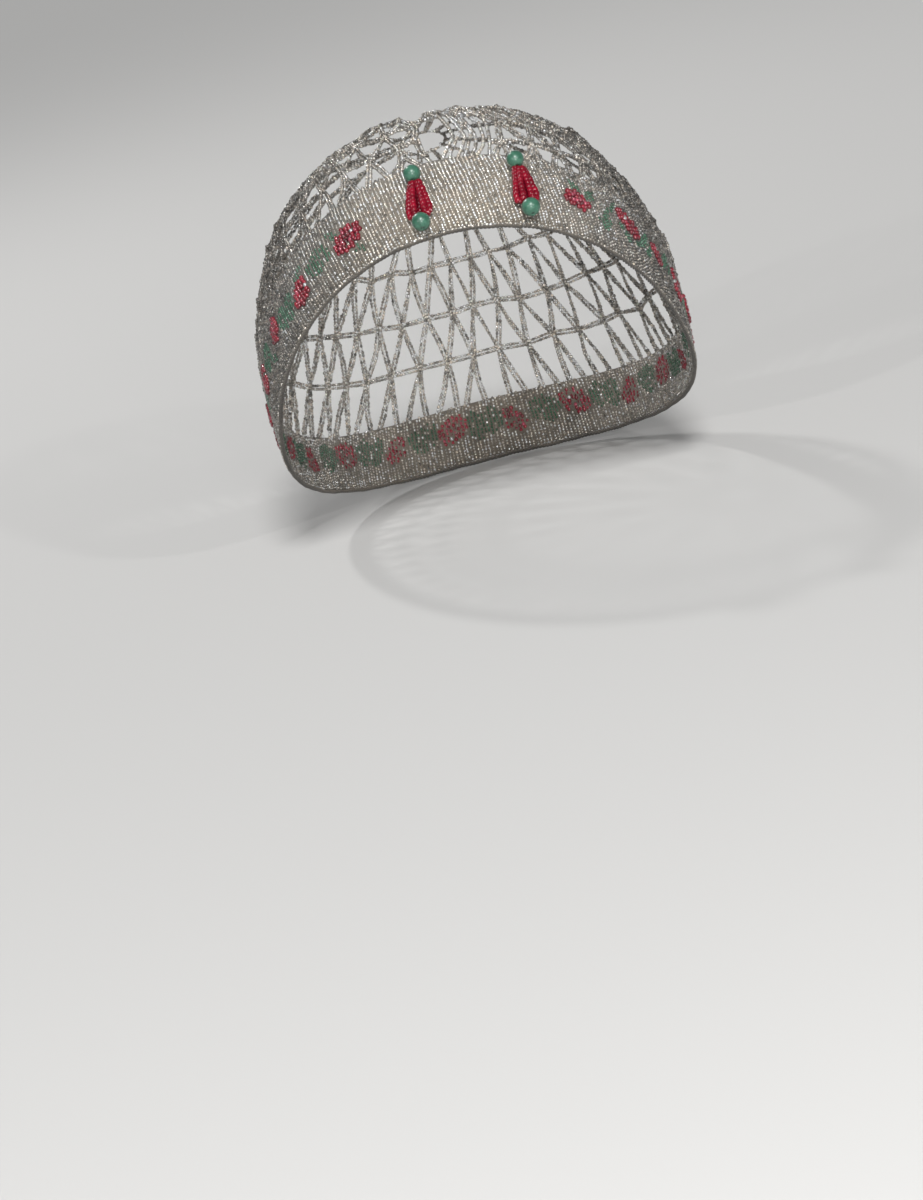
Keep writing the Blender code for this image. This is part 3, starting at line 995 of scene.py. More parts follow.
# %% Beads along a path
STEP = 0.0004
NET_DEPTH = 0.00115
DOUBLE_SPREAD = 0.00070
TWIST_LENGTH = 0.110
TWIST_FLATNESS = 0.7


def smooth_path(knots, samples):
    """A smooth path through knots (Catmull-Rom), as rows of turn, height and depth."""
    knots = np.array(knots, float)
    padded = np.vstack([2 * knots[0] - knots[1], knots, 2 * knots[-1] - knots[-2]])
    rows = []
    for index in range(1, len(padded) - 2):
        before, start, end, after = padded[index - 1:index + 3]
        share = np.linspace(0, 1, samples, endpoint=False)[:, None]
        rows.append(0.5 * (2 * start + (end - before) * share
                           + (2 * before - 5 * start + 4 * end - after) * share ** 2
                           + (3 * start - before - 3 * end + after) * share ** 3))
    return np.vstack(rows + [knots[-1:]])


def read_path(places, travelled, values):
    """The values of a path's points, read at given lengths along it."""
    return np.stack([np.interp(places, travelled, values[:, axis]) for axis in range(3)], axis=1)


def string_on(path, spread, phase, pitch):
    """Beads along one string: centres, directions and outward, for a path of turn, height above band, depth."""
    base = band_width(path[:, 0])
    point, across, upward, outward = cap_frames(path[:, 0], base + path[:, 1], path[:, 2])
    travelled = lengths_along(point)
    tangent = unit(np.gradient(point, axis=0))
    side = unit(np.cross(tangent, outward))
    angle = phase + travelled / TWIST_LENGTH * 2 * pi
    point = point + (side * np.cos(angle)[:, None] + outward * np.sin(angle)[:, None] * TWIST_FLATNESS) * spread
    travelled = lengths_along(point)
    places = np.arange(pitch / 2, travelled[-1], pitch)
    centres = read_path(places, travelled, point)
    onward = read_path(places + STEP, travelled, point) - read_path(places - STEP, travelled, point)
    facing = read_path(places, travelled, outward)
    return centres, unit(onward), unit(facing), np.interp(places, travelled, path[:, 0])


print("the two strings of a double string lie", round(2 * DOUBLE_SPREAD * 1000, 2), "mm apart")

# %% [markdown]
# ## The net over the crown
# The net has rows of knots. From each knot of the first row two legs run down to the band, a double string
# links it to its neighbours, and two arms rise to the row above. Towards the crown the strings gather in
# pairs and end on a small ring. At the front a place is torn: some knots are gone, one thick leg hangs
# loose, and seven single strings sway up from the band. The knots round it are pulled out of their places,
# so they are laid one by one. The net has a random seed of its own, so that no change to the band moves it.

# %% Places of the net
ROW_SHARES = (0.0, 0.16, 0.32, 0.50, 0.70, 0.86, 1.0)
KNOTS_ROUND = 48
KNOT_STEP = 360 / KNOTS_ROUND
KNOT_TURN = 1.2
FRONT_MIDDLE = 7.0
LEG_SHIFTS = {"left": (-0.3, 4.7), "right": (0.4, -3.6)}
LINKED_ROWS = (1, 2, 3)
FRONT_KNOTS = {
    (1, -5): (-36.2, 18.6), (1, -4): (-28.7, 18.6), (1, -3): (-21.6, 17.6), (1, -2): (-14.0, 15.4),
    (1, -1): (-6.2, 16.6), (1, 0): (-1.7, 18.4), (2, -4): (-35.0, 38.0), (2, -3): (-28.3, 38.5),
    (2, -2): (-20.0, 38.0), (2, -1): (-11.0, 37.5), (2, 0): (-0.8, 38.0),
    (1, 2): (19.2, 10.4), (1, 3): (26.2, 9.8), (1, 4): (33.0, 10.4), (1, 5): (40.0, 13.0),
    (2, 3): (22.6, 31.0), (2, 4): (30.8, 30.5), (2, 5): (38.6, 32.0), (2, 6): (45.6, 34.0),
}
TORN = {0: (-2.2, 17.0), 1: (0.4, 18.0), 2: (0.8, 18.5)}
DENT = {"turn": 2.0, "height": 0.060, "wide": 7.0, "high": 0.012, "depth": 0.0030}
LOOSE_SIZE = 1.22
HANGING = (
    ((-1.2, 20.5), (-0.9, 14.0), (-0.3, 7.0), (1.3, -1.2)),
    ((-1.6, 18.6), (-1.3, 13.0), (-0.8, 6.4), (0.6, 3.6)),
    ((19.2, 10.4), (17.8, 10.2), (16.2, 9.6)),
)
LOOSE_HEIGHTS = (-1.0, 4.0, 8.0, 12.0, 16.0, 21.0, 26.0, 33.0, 40.0, 48.0, 57.0)
LOOSE_TURNS = (
    (3.7, 4.8, 6.0, 7.2, 8.2, 8.25, 8.2, 7.9, 7.8, 6.8, 5.0),
    (5.4, 6.4, 7.5, 8.6, 9.8, 11.2, 12.0, 12.6, 12.6, 10.4, 8.6),
    (7.3, 8.8, 9.8, 10.6, 10.8, 10.3, 10.2, 9.9, 9.6, 8.8, 7.2),
    (8.6, 10.0, 10.9, 11.7, 12.7, 13.0, 12.6, 11.6, 11.0, 10.0, 8.8),
    (10.3, 11.9, 12.7, 13.3, 13.5, 13.4, 13.3, 13.3, 14.2, 13.0, 11.6),
    (11.5, 13.6, 14.5, 15.1, 15.5, 15.9, 16.4, 15.4, 15.8, 14.4, 13.2),
    (14.6, 15.3, 16.0, 16.6, 17.2, 17.9, 18.7, 19.4, 19.4, 18.6, 18.0),
)
print("knots laid one by one:", len(FRONT_KNOTS), "and loose strings:", len(LOOSE_TURNS))

# %% Lay out the net
NET_SEED = 1926
KNOT_SHIFT = 0.35
KNOT_SCATTER = 0.0006
KNOT_OUT = -0.0003
KNOT_OUT_SPREAD = 0.0005
TWIST_START = 0.35
BOW_SPREAD = 0.35
SAG = 0.0002
SAG_SPREAD = 0.0003
LEG_FOOT = -0.0012
CROWN_POINTS = 73
CROWN_DROP = 0.0004
LOOSE_LAYER = 0.0004
chance = np.random.default_rng(NET_SEED)


def row_height(turn, row):
    """The height above the band of a row of knots."""
    low = int(min(row, len(ROW_SHARES) - 2))
    share = ROW_SHARES[low] + (ROW_SHARES[low + 1] - ROW_SHARES[low]) * (row - low)
    return share * float(full_height(turn) - band_width(turn))


def dented(turn, height):
    """How far the net sinks beside the torn place."""
    signed = (turn + 180) % 360 - 180
    away = ((signed - DENT["turn"]) / DENT["wide"]) ** 2 + ((height - DENT["height"]) / DENT["high"]) ** 2
    return DENT["depth"] * float(np.exp(-away))


def knot_at(row, column):
    """Turn, height and depth of a knot, each a little out of true."""
    local = np.random.default_rng(1000 * row + column % KNOTS_ROUND)
    turn = KNOT_TURN + (column + 0.5 * (row % 2) - 0.5) * KNOT_STEP
    near = column - KNOTS_ROUND if column > KNOTS_ROUND // 2 else column
    if (row, near) in FRONT_KNOTS:
        placed, height = FRONT_KNOTS[(row, near)]
        turn, height = placed + 360 * round((turn - placed) / 360), height / 1000
    else:
        turn = turn + local.normal(0, KNOT_SHIFT)
        height = row_height(turn, row) + local.normal(0, KNOT_SCATTER)
    depth = NET_DEPTH + local.normal(KNOT_OUT, KNOT_OUT_SPREAD) + dented(turn, height)
    return np.array([turn, height, depth])


def bowed(start, end, bow, sag):
    """A slightly bowed string between two knots: bow in degrees, sag in metres of depth."""
    middle = (start + end) / 2 + np.array([bow, 0, sag])
    return smooth_path([start, middle, end], 10)


def is_torn(turn, row):
    """Whether a string at this turn, going up from this row, is one of the lost ones."""
    signed = (turn + 180) % 360 - 180
    return row in TORN and TORN[row][0] < signed < TORN[row][1]


def laid_path(places, deeper=0.0):
    """A smooth path through places given as turn in degrees and height above the band in millimetres."""
    return smooth_path([(turn, height / 1000, NET_DEPTH + deeper) for turn, height in places], 12)


def net_strings():
    """All strings as (path, spread, phase, bead size): single strings have no spread."""
    strings = []

    def add_double(path):
        """Two strings that wind round one path."""
        phase = chance.normal(0, TWIST_START)
        strings.append((path, DOUBLE_SPREAD, phase, 1.0))
        strings.append((path, DOUBLE_SPREAD, phase + pi, 1.0))

    def arm(start, end, row):
        """A double string between two knots, unless it is torn away."""
        if not is_torn((start[0] + end[0]) / 2, row):
            add_double(bowed(start, end, chance.normal(0, BOW_SPREAD), chance.normal(SAG, SAG_SPREAD)))

    for column in range(KNOTS_ROUND):
        knot = knot_at(1, column)
        signed = (knot[0] + 180) % 360 - 180
        for shift in LEG_SHIFTS["left" if signed < FRONT_MIDDLE else "right"]:
            foot = np.array([knot[0] + shift, LEG_FOOT, BEAD_DEPTH])
            arm(foot, knot, 0)
        for row in LINKED_ROWS:
            arm(knot_at(row, column), knot_at(row, column + 1), row)
        for aside in (0, 1):
            arm(knot, knot_at(2, column + aside), 1)
            arm(knot_at(2, column), knot_at(3, column - 1 + aside), 2)
    for pair in range(KNOTS_ROUND // 2):
        top = knot_at(4, 2 * pair + 1)
        for below in (2 * pair, 2 * pair + 1):
            arm(knot_at(3, below), top, 3)
    for spoke in range(KNOTS_ROUND // 4):
        pair = [knot_at(4, 4 * spoke + 1), knot_at(4, 4 * spoke + 3)]
        join = (pair[0] + pair[1]) / 2
        join[1] = row_height(join[0], 5)
        ring = join.copy()
        ring[1] = row_height(join[0], 6)
        arm(pair[0], join, 4)
        arm(pair[1], join, 4)
        arm(join, ring, 5)
    crown_turns = np.linspace(0, 360, CROWN_POINTS)
    crown = [(turn, row_height(turn, 6) - CROWN_DROP, NET_DEPTH) for turn in crown_turns]
    strings.append((np.array(crown), 0.0, 0.0, 1.0))
    for places in HANGING:
        add_double(laid_path(places))
    for number, turns_up in enumerate(LOOSE_TURNS):
        path = laid_path(list(zip(turns_up, LOOSE_HEIGHTS)), -LOOSE_LAYER * (number % 3))
        strings.append((path, 0.0, 0.0, LOOSE_SIZE))
    return strings


strings = net_strings()
print("net strings:", len(strings))

# %% [markdown]
# ## Beads for the net
# Each string of the layout is filled with beads, one against the next. Where the strings meet they are
# tied together, and the beads bunch up into a small lump, so each knot of the lower rows gets a cluster of
# six beads that lie any way round. The loose single strings have larger and brighter beads. The tarnish of
# the net is less even than the band's, so its tints spread further.

# %% Knots of the net
KNOT_BEADS = 6
KNOT_REACH = 0.0010
KNOT_RISE = 0.0006
KNOT_FLATNESS = 0.4


def knot_clusters():
    """The little lump of beads at each knot of the first rows: centres, directions, outward, turns."""
    spots = []
    for row in LINKED_ROWS:
        for column in range(KNOTS_ROUND):
            knot = knot_at(row, column)
            if not is_torn(knot[0], row):
                spots += [knot] * KNOT_BEADS
    spots = np.array(spots)
    height = band_width(spots[:, 0]) + spots[:, 1]
    point, across, upward, outward = cap_frames(spots[:, 0], height, spots[:, 2] - KNOT_RISE)
    shift = chance.normal(0, KNOT_REACH / 2, (len(spots), 3)).clip(-KNOT_REACH, KNOT_REACH)
    point = point + across * shift[:, :1] + upward * shift[:, 1:2] + outward * (shift[:, 2:] * KNOT_FLATNESS)
    way = chance.random(len(spots)) * 2 * pi
    return point, across * np.cos(way)[:, None] + upward * np.sin(way)[:, None], outward, spots[:, 0]


# %% Bead the net
NET_PITCH = 0.00126
NET_SIZE = 1.12
NET_SIZE_SPREAD = 0.06
NET_SIZE_LIMITS = (0.85, 1.15)
NET_SCATTER = 0.00013
NET_LEAN = 0.12
# front and side levels of the net: the side level is painted shade
NET_LEVELS = (1.20, 0.40)
NET_SPREAD = 0.30
NET_DARK_SHARE = 0.14
NET_GLINT_SHARE = 0.18
# painted shade in the gaps between the net's beads
NET_GAP_SHADE = 0.55
LOOSE_LEVEL = 1.3

laid = [string_on(path, spread, phase, NET_PITCH * size) for path, spread, phase, size in strings]
sizes = np.concatenate([np.full(len(part[0]), string[3]) for part, string in zip(laid, strings)])
clusters = knot_clusters()
laid.append(clusters)
sizes = np.concatenate([sizes, np.ones(len(clusters[0]))]) * NET_SIZE
loose = sizes > NET_SIZE * 1.1
centres = np.vstack([part[0] for part in laid])
along = np.vstack([part[1] for part in laid])
outward = np.vstack([part[2] for part in laid])
turns = np.concatenate([part[3] for part in laid]) % 360
count = len(centres)
centres = centres + outward * chance.normal(0, NET_SCATTER, count)[:, None]
lean = chance.normal(0, NET_LEAN, (count, 1))
along = unit(along + outward * lean)
outward = unit(outward - along * (outward * along).sum(axis=1)[:, None])
axes = bead_axes(along, outward, chance.random(count) * 2 * pi)
sizes = sizes * chance.normal(1.0, NET_SIZE_SPREAD, count).clip(*NET_SIZE_LIMITS)
tint = silver_tints(turns, *NET_LEVELS, NET_SPREAD, NET_DARK_SHARE, NET_GLINT_SHARE)
tint[loose, :3] = (tint[loose, :3] * LOOSE_LEVEL).clip(0, LIGHTEST)
gap_shade = np.full(count, NET_GAP_SHADE)
for number, (start, end) in enumerate(((0, 90), (90, 180), (180, 270), (270, 360)), 1):
    part = (turns >= start) & (turns < end)
    bead_mesh(f"net_beads_{number}", seed_pattern, centres[part], axes[part], sizes[part], tint[part], net_glass,
              ["net_crown"], outward[part], gap_shade[part])

# %% [markdown]
# ## The corded hem
# The lower edge is a thin cord of two plies with a row of tiny beads worked over it. Each ply is a tube
# that winds round the hem line. Two plies show the twist as real slanting ridges, which a bump on one
# round tube wouldn't give at the cap's outline. An attribute darkens the thread along the cord's lower
# side, as painted shade.

# %% Hem cord
PLY_RADIUS = 0.00046
PLY_WIND = 0.00042
PLY_TURNS = 210
PLY_SIDES = 5
PLY_STEPS = 1260
HEM_HEIGHT = 0.0009
HEM_DEPTH = 0.0010
HEM_WAVES = ((0.00012, 23, 0.0), (0.00008, 61, 1.0))  # size, count round the cap, and start of each
HEM_UV = (0.58, 0.42)
# painted shade on the cord's lower side: from the lowest points to the middle of the cord
HEM_SHADE_RANGE = (-0.6, 0.3)
HEM_LOWER_SHADE = (0.35, 1.0)


def hem_ply(start_phase):
    """One ply, a closed tube that winds round the hem line: its points, and how high each stands, from -1 to 1."""
    share = np.arange(PLY_STEPS) / PLY_STEPS
    turn = share * 360
    wind = start_phase + share * PLY_TURNS * 2 * pi
    wave = sum(size * np.sin(share * 2 * pi * count + start) for size, count, start in HEM_WAVES)
    line, across, upward, outward = cap_frames(turn, np.full(PLY_STEPS, HEM_HEIGHT) + wave,
                                               np.full(PLY_STEPS, HEM_DEPTH))
    middle = line + (upward * np.cos(wind)[:, None] + outward * np.sin(wind)[:, None]) * PLY_WIND
    tangent = unit(np.roll(middle, -1, axis=0) - np.roll(middle, 1, axis=0))
    first = unit(np.cross(tangent, outward))
    second = np.cross(tangent, first)
    rim = np.arange(PLY_SIDES) / PLY_SIDES * 2 * pi
    rings = middle[:, None, :] + PLY_RADIUS * (first[:, None, :] * np.cos(rim)[None, :, None]
                                                + second[:, None, :] * np.sin(rim)[None, :, None])
    raised = np.einsum("nsj,nj->ns", rings - line[:, None, :], upward) / (PLY_WIND + PLY_RADIUS)
    return rings.reshape(-1, 3), raised.ravel()


def hem_cord(finish):
    """The cord of two plies, as one piece."""
    plies = [hem_ply(0.0), hem_ply(pi)]
    points = np.vstack([ply[0] for ply in plies])
    raised = np.concatenate([ply[1] for ply in plies])
    faces, uvs = [], []
    for ply in range(2):
        offset = ply * PLY_STEPS * PLY_SIDES
        for step in range(PLY_STEPS):
            after = (step + 1) % PLY_STEPS
            for side in range(PLY_SIDES):
                beyond = (side + 1) % PLY_SIDES
                faces.append((offset + step * PLY_SIDES + side, offset + after * PLY_SIDES + side,
                              offset + after * PLY_SIDES + beyond, offset + step * PLY_SIDES + beyond))
                uvs += [(side, step), (side, step + 1), (side + 1, step + 1), (side + 1, step)]
    mesh = bpy.data.meshes.new("hem_edging")
    mesh.from_pydata(points.tolist(), [], faces)
    layer = mesh.uv_layers.new(name="cap_map")
    layer.data.foreach_set("uv", (np.array(uvs, float) * HEM_UV).ravel())
    cord = bpy.data.objects.new("hem_edging", mesh)
    bpy.context.scene.collection.objects.link(cord)
    only(cord)
    bpy.ops.object.mode_set(mode="EDIT")
    bpy.ops.mesh.select_all(action="SELECT")
    bpy.ops.mesh.normals_make_consistent(inside=False)
    bpy.ops.object.mode_set(mode="OBJECT")
    mesh.shade_smooth()
    mesh.materials.append(finish)
    paint_thread_shade(cord, np.interp(raised, HEM_SHADE_RANGE, HEM_LOWER_SHADE))
    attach(cord, "root")
    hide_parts("hem_cord")
    return cord


hem_thread = thread_finish("twisted hem cord", "#978C7B", "#2C251D", 1.2, 40, 0.8)
cord = hem_cord(hem_thread)
print("hem cord:", len(cord.data.polygons), "faces")

# %% Hem beads
HEM_BEADS = 400
HEM_BEAD_SHIFT = 0.12
HEM_BEAD_HEIGHT = 0.00145
HEM_BEAD_SCATTER = 0.00015
HEM_BEAD_DEPTH = 0.00035
HEM_BEAD_SLANT = 0.35
HEM_SLANT_SPREAD = 0.25
HEM_BEAD_SIZE = 0.92
HEM_SIZE_SPREAD = 0.06
HEM_SIZE_LIMITS = (0.8, 1.05)
HEM_TINTS = (0.9, 0.45, 0.2, 0.1, 0.15)  # front, side, spread, dark share and bright share

turns = (np.arange(HEM_BEADS) + chance.normal(0, HEM_BEAD_SHIFT, HEM_BEADS)) * 360 / HEM_BEADS
heights = np.full(HEM_BEADS, HEM_BEAD_HEIGHT) + chance.normal(0, HEM_BEAD_SCATTER, HEM_BEADS)
centres, across, upward, outward = cap_frames(turns, heights, np.full(HEM_BEADS, HEM_BEAD_DEPTH))
slant = HEM_BEAD_SLANT + chance.normal(0, HEM_SLANT_SPREAD, HEM_BEADS)
along = unit(across + upward * slant[:, None])
axes = bead_axes(along, outward, chance.random(HEM_BEADS) * 2 * pi)
sizes = chance.normal(HEM_BEAD_SIZE, HEM_SIZE_SPREAD, HEM_BEADS).clip(*HEM_SIZE_LIMITS)
tint = silver_tints(turns, *HEM_TINTS)
bead_mesh("hem_beads", seed_pattern, centres, axes, sizes, tint, band_glass, ["hem_cord"])

# %% [markdown]
# ## The green beads
# The four large beads are opaque moulded glass, turned nearly round and fire polished. Each starts as a
# sphere: its two poles are taken off and the open edges bridged, which makes the bore.

# %% Round beads with a bore
GREEN_RADIUS = 0.0031
GREEN_SEGMENTS = 32
GREEN_RINGS = 18
STAND_OFF = 0.0003
LOWER_BEAD_SIZE = 1.07
GREEN_COLOURS = ("#2D5745", "#437560")
GREEN_STOPS = (0.30, 0.75)
MARBLE_SCALE = 330.0  # swirls of about 3 mm, half a bead across
WEAR_SCALE = 1500.0  # fine wear of about 0.7 mm: real scratches are finer than the render shows
GREEN_ROUGHNESS = (0.30, 0.46)
ORNAMENTS = (
    {"name": "left", "turn": -3.5, "upper": 0.0273, "lower": 0.0044, "top_shift": 0.0, "low_shift": -0.0006,
     "slit": 0.0018},
    {"name": "right", "turn": 18.4, "upper": 0.0279, "lower": 0.0051, "top_shift": 0.0010, "low_shift": -0.0001,
     "slit": 0.0015},
)


def green_finish():
    """Opaque green glass: a soft marbling of lighter and darker green under a clear polished skin."""
    finish, tree, shader = new_material("opaque green glass, fire polished", 0.36, BEAD_IOR)
    coords = add_node(tree, "ShaderNodeTexCoord")
    marble = add_node(tree, "ShaderNodeTexNoise", [(coords.outputs["Object"], "Vector")],
                      in_Scale=MARBLE_SCALE, in_Detail=3.0, in_Distortion=1.2)
    ramp = add_node(tree, "ShaderNodeValToRGB", [(marble.outputs["Fac"], "Fac")])
    for element, stop, code in zip(ramp.color_ramp.elements, GREEN_STOPS, GREEN_COLOURS):
        element.position = stop
        element.color = (*linear(code), 1)
    wear = add_node(tree, "ShaderNodeTexNoise", [(coords.outputs["Object"], "Vector")],
                    in_Scale=WEAR_SCALE, in_Detail=3.0)
    rough = add_node(tree, "ShaderNodeMapRange", [(wear.outputs["Fac"], "Value")],
                     in_From_Min=0.35, in_From_Max=0.75, in_To_Min=GREEN_ROUGHNESS[0], in_To_Max=GREEN_ROUGHNESS[1])
    bump = add_node(tree, "ShaderNodeBump", [(wear.outputs["Fac"], "Height")],
                    in_Strength=0.12, in_Distance=0.0001)
    tree.links.new(ramp.outputs["Color"], shader.inputs["Base Color"])
    tree.links.new(rough.outputs["Result"], shader.inputs["Roughness"])
    tree.links.new(bump.outputs["Normal"], shader.inputs["Normal"])
    shader.inputs["Coat Weight"].default_value = 0.35
    shader.inputs["Coat Roughness"].default_value = 0.26
    return finish


def ornament_frame(ornament):
    """The ornament's own frame on the band: X across, Y up, Z out."""
    middle = (ornament["upper"] + ornament["lower"]) / 2
    point, across, upward, outward = cap_frames(np.array([ornament["turn"]]), np.array([middle]),
                                                np.array([0.0]))
    turning = Matrix([Vector(row) for row in (across[0], upward[0], outward[0])]).transposed()
    return Matrix.Translation(Vector(point[0])) @ turning.to_4x4(), middle


def green_bead(name, radius, place, finish, node):
    """A sphere with its poles taken off and bridged into a bore, set at its place."""
    bpy.ops.object.select_all(action="DESELECT")
    bpy.ops.mesh.primitive_uv_sphere_add(segments=GREEN_SEGMENTS, ring_count=GREEN_RINGS, radius=radius,
                                         rotation=(pi / 2, 0, 0))
    bead = bpy.context.object
    bead.name = name
    bpy.ops.object.transform_apply(location=True, rotation=True, scale=True)
    pick_faces(bead, lambda face: abs(face.center.y) > radius * cos(pi / GREEN_RINGS * 0.9))
    bpy.ops.mesh.delete(type="FACE")
    bpy.ops.mesh.select_mode(type="EDGE")
    bpy.ops.mesh.select_all(action="DESELECT")
    bpy.ops.mesh.select_non_manifold()
    bpy.ops.mesh.bridge_edge_loops()
    bpy.ops.mesh.select_all(action="SELECT")
    bpy.ops.mesh.normals_make_consistent(inside=False)
    bpy.ops.object.mode_set(mode="OBJECT")
    bead.data.shade_smooth()
    bead.data.transform(place)
    bead.data.materials.append(finish)
    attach(bead, "root")
    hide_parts(node)
    return bead


green_glass = green_finish()
for ornament in ORNAMENTS:
    base, middle = ornament_frame(ornament)
    for end, size, aside in (("upper", 1.0, 0.0), ("lower", LOWER_BEAD_SIZE, ornament["low_shift"])):
        spot = base @ Matrix.Translation((aside, ornament[end] - middle, GREEN_RADIUS * size + STAND_OFF))
        made = green_bead(f"{ornament['name']}_{end}_round", GREEN_RADIUS * size, spot, green_glass,
                          f"{ornament['name']}_{end}_bead")
print("green beads:", len(made.data.polygons), "faces each")

# %% [markdown]
# ## The red strands
# Between the green beads hang two loops of red beads, so four strings show side by side with a dark slit
# in the middle. Each loop leaves the upper bead, widens on its way down, turns beside the lower bead and
# comes back up. A fifth string lies deep in the slit, its beads darkened as painted shade. The beads are
# larger than the silver ones, so they get a pattern bead of their own: a sphere whose sides are made
# straighter, like a short barrel. They are set closer than their length, as they press into one another and show as
# smooth dark red strands.

# %% The red pattern bead
RED_RADIUS = 0.00122
RED_LENGTH = 0.00215
RED_SEGMENTS = 12
RED_RINGS = 8
RED_SQUARENESS = 0.32
RED_PITCH = 0.00170

bpy.ops.object.select_all(action="DESELECT")
bpy.ops.mesh.primitive_uv_sphere_add(segments=RED_SEGMENTS, ring_count=RED_RINGS, radius=RED_RADIUS)
red_seed = bpy.context.object
bpy.ops.object.mode_set(mode="EDIT")
bpy.ops.transform.resize(value=(1, 1, RED_LENGTH / (2 * RED_RADIUS)), center_override=(0, 0, 0))
bpy.ops.object.mode_set(mode="OBJECT")
for corner in red_seed.data.vertices:
    wide = (corner.co.x ** 2 + corner.co.y ** 2) ** 0.5 / RED_RADIUS
    if wide > 0.01:
        corner.co.x *= wide ** (RED_SQUARENESS - 1)
        corner.co.y *= wide ** (RED_SQUARENESS - 1)
red_pattern = (np.array([corner.co[:] for corner in red_seed.data.vertices]),
               [list(face.vertices) for face in red_seed.data.polygons])
bpy.data.objects.remove(red_seed, do_unlink=True)
print("one red bead:", len(red_pattern[0]), "points,", len(red_pattern[1]), "faces")

# %% Paths of the red strands
LEFT_LOOP_END = 0.0022
RIGHT_LOOP_END = 0.0028


def loop_points(way, ornament, middle):
    """One loop in the ornament's frame: down the inner string, round beside the lower bead, up the outer one."""
    top = ornament["upper"] - middle - GREEN_RADIUS - 0.0001
    low = ornament["lower"] - middle
    drop = LEFT_LOOP_END if way < 0 else RIGHT_LOOP_END
    slit = ornament["slit"]
    points = np.array([
        (0.0006 * way, top, 0.0028), (slit * 0.75 * way, top * 0.7 + low * 0.3, 0.0030),
        (slit * way, low + 0.0080, 0.0030), (slit * 0.95 * way, low + 0.0054, 0.0028),
        (0.0023 * way, low + 0.0027 + drop, 0.0022), (0.0031 * way, low + 0.0017 + drop, 0.0018),
        (0.0037 * way, low + 0.0034 + drop, 0.0020), (0.0037 * way, low + 0.0080, 0.0023),
        (0.0030 * way, top * 0.55 + low * 0.45 + 0.001, 0.0024), (0.0021 * way, top - 0.0024, 0.0022),
        (0.0013 * way, top + 0.0002, 0.0019),
    ])
    share = (points[:, 1] - low) / (top - low)
    points[:, 0] += ornament["top_shift"] * share + ornament["low_shift"] * (1 - share)
    return points


def core_points(ornament, middle):
    """The string between the two loops, which lies deep in the slit."""
    top = ornament["upper"] - middle - GREEN_RADIUS
    low = ornament["lower"] - middle + GREEN_RADIUS
    return np.array([(ornament["top_shift"], top, 0.0016), (ornament["top_shift"] / 2, (top + low) / 2, 0.0015),
                     (ornament["low_shift"], low, 0.0014)])


def red_paths(ornament, middle):
    """The three paths of one ornament: its two loops, and then the string between them."""
    return [loop_points(-1, ornament, middle), loop_points(1, ornament, middle), core_points(ornament, middle)]


print("paths in each ornament:", len(red_paths(ORNAMENTS[0], 0.0)))

# %% String the red beads
RED_ROUGHNESS = 0.16
RED = np.array(linear("#7E0B21"))
RED_SPREAD = 0.14
RED_LIMITS = (0.65, 1.35)
RED_LINING = 0.05
CORE_PAINTED_SHADE = 0.55
RED_SIZE_SPREAD = 0.065
PATH_SAMPLES = 24
NO_LENGTH = 1e-9  # keeps the last direction of a path from having no length
red_glass = bead_glass("deep red bead glass", RED_ROUGHNESS, 0.0)

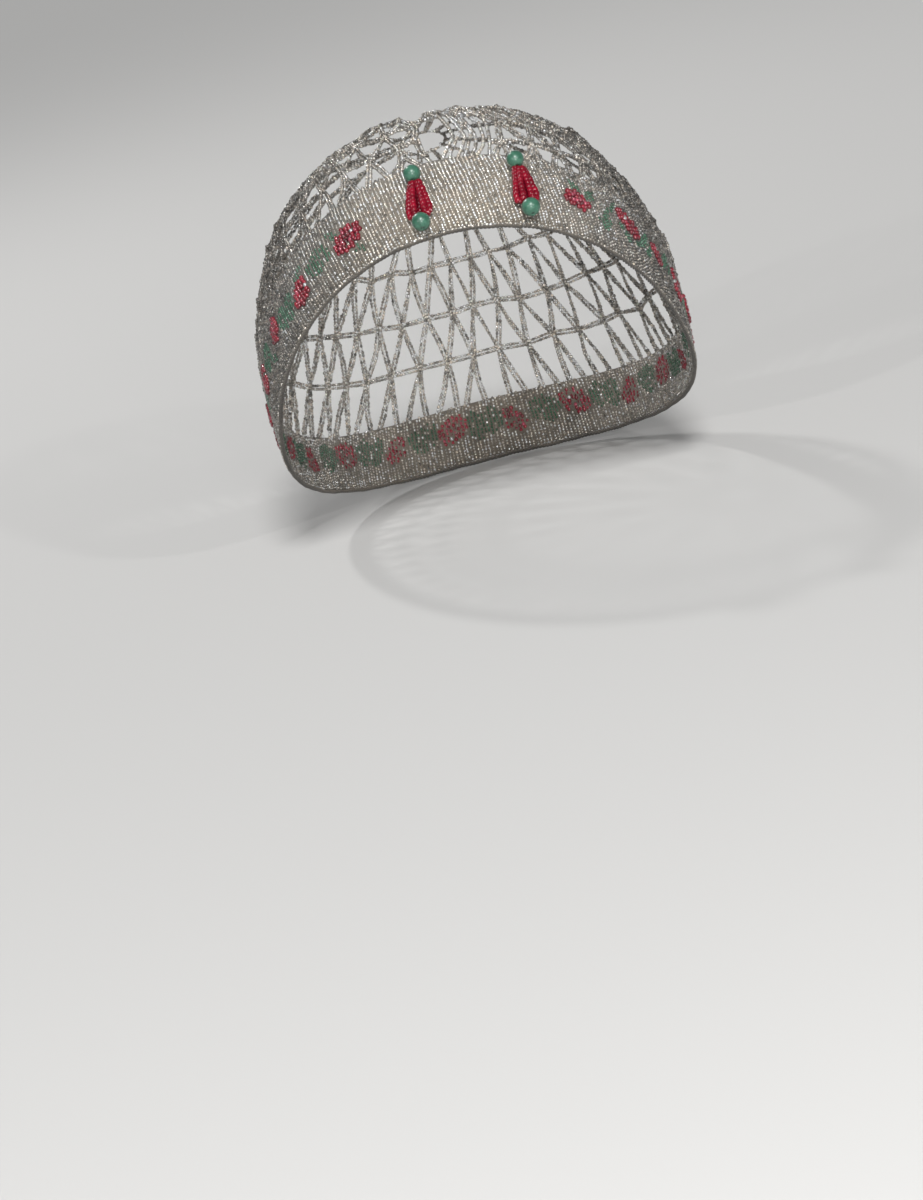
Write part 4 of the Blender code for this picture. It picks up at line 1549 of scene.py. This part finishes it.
for ornament in ORNAMENTS:
    base, middle = ornament_frame(ornament)
    turning = np.array(base.to_3x3())
    shift = np.array(base.translation)
    parts = []
    for knots in red_paths(ornament, middle):
        path = smooth_path(knots, PATH_SAMPLES)
        travelled = lengths_along(path)
        places = np.arange(RED_LENGTH / 2, travelled[-1], RED_PITCH)
        spot = read_path(places, travelled, path)
        onward = read_path(places + STEP, travelled, path) - spot
        parts.append((spot, unit(onward + NO_LENGTH)))
    spot = np.vstack([part[0] for part in parts])
    along = np.vstack([part[1] for part in parts])
    centres = spot @ turning.T + shift
    along = unit(along @ turning.T)
    outward = np.tile(turning[:, 2], (len(spot), 1))
    count = len(spot)
    level = chance.normal(1.0, RED_SPREAD, count).clip(*RED_LIMITS)
    # painted shade: the string deep in the slit is darkened
    level[count - len(parts[-1][0]):] *= CORE_PAINTED_SHADE
    tint = np.concatenate([RED[None, :] * level[:, None], np.full((count, 1), RED_LINING)], axis=1)
    axes = bead_axes(along, outward, chance.random(count) * 2 * pi)
    sizes = chance.normal(1.0, RED_SIZE_SPREAD, count)
    bead_mesh(f"{ornament['name']}_red_beads", red_pattern, centres, axes, sizes, tint, red_glass,
              [f"{ornament['name']}_red_strands"])

# %% [markdown]
# ## Ends of the ornaments
# Below each lower bead three short strings of small beads are sewn down to the hem, and above each upper
# bead one short string holds the ornament to the net.

# %% Tails and hangers
TAIL_PITCH = 0.0012
TAIL_SIDES = (-1.1, 0.0, 1.1)
TAIL_BEADS = 3
TAIL_SLANT = 0.35
HANGER_BEADS = 5
TIE_SIZE = 0.92
TIE_TINTS = (0.45, 0.45, 0.3, 0.2, 0.2)  # front, side, spread, dark share and bright share

spots, ways, faces_out = [], [], []
for ornament in ORNAMENTS:
    for aside in TAIL_SIDES:
        for step in range(TAIL_BEADS):
            height = ornament["lower"] - GREEN_RADIUS + 0.0006 - step * TAIL_PITCH
            turn = ornament["turn"] + aside * (0.6 + 0.5 * step)
            point, across, upward, outward = cap_frames(np.array([turn]), np.array([height]),
                                                        np.array([-0.0008]))
            spots.append(point[0])
            ways.append(upward[0] - across[0] * TAIL_SLANT * aside)
            faces_out.append(outward[0])
    for step in range(HANGER_BEADS):
        height = ornament["upper"] + GREEN_RADIUS + 0.0003 + step * TAIL_PITCH
        point, across, upward, outward = cap_frames(np.array([ornament["turn"] - 0.4]), np.array([height]),
                                                    np.array([-0.0022 + 0.0004 * step]))
        spots.append(point[0])
        ways.append(upward[0])
        faces_out.append(outward[0])
spots, ways, faces_out = np.array(spots), unit(np.array(ways)), np.array(faces_out)
tint = silver_tints(np.zeros(len(spots)), *TIE_TINTS)
axes = bead_axes(ways, faces_out, chance.random(len(spots)) * 2 * pi)
bead_mesh("ornament_ties", seed_pattern, spots, axes, np.full(len(spots), TIE_SIZE), tint, band_glass,
          [f"{ornament['name']}_lower_bead" for ornament in ORNAMENTS])
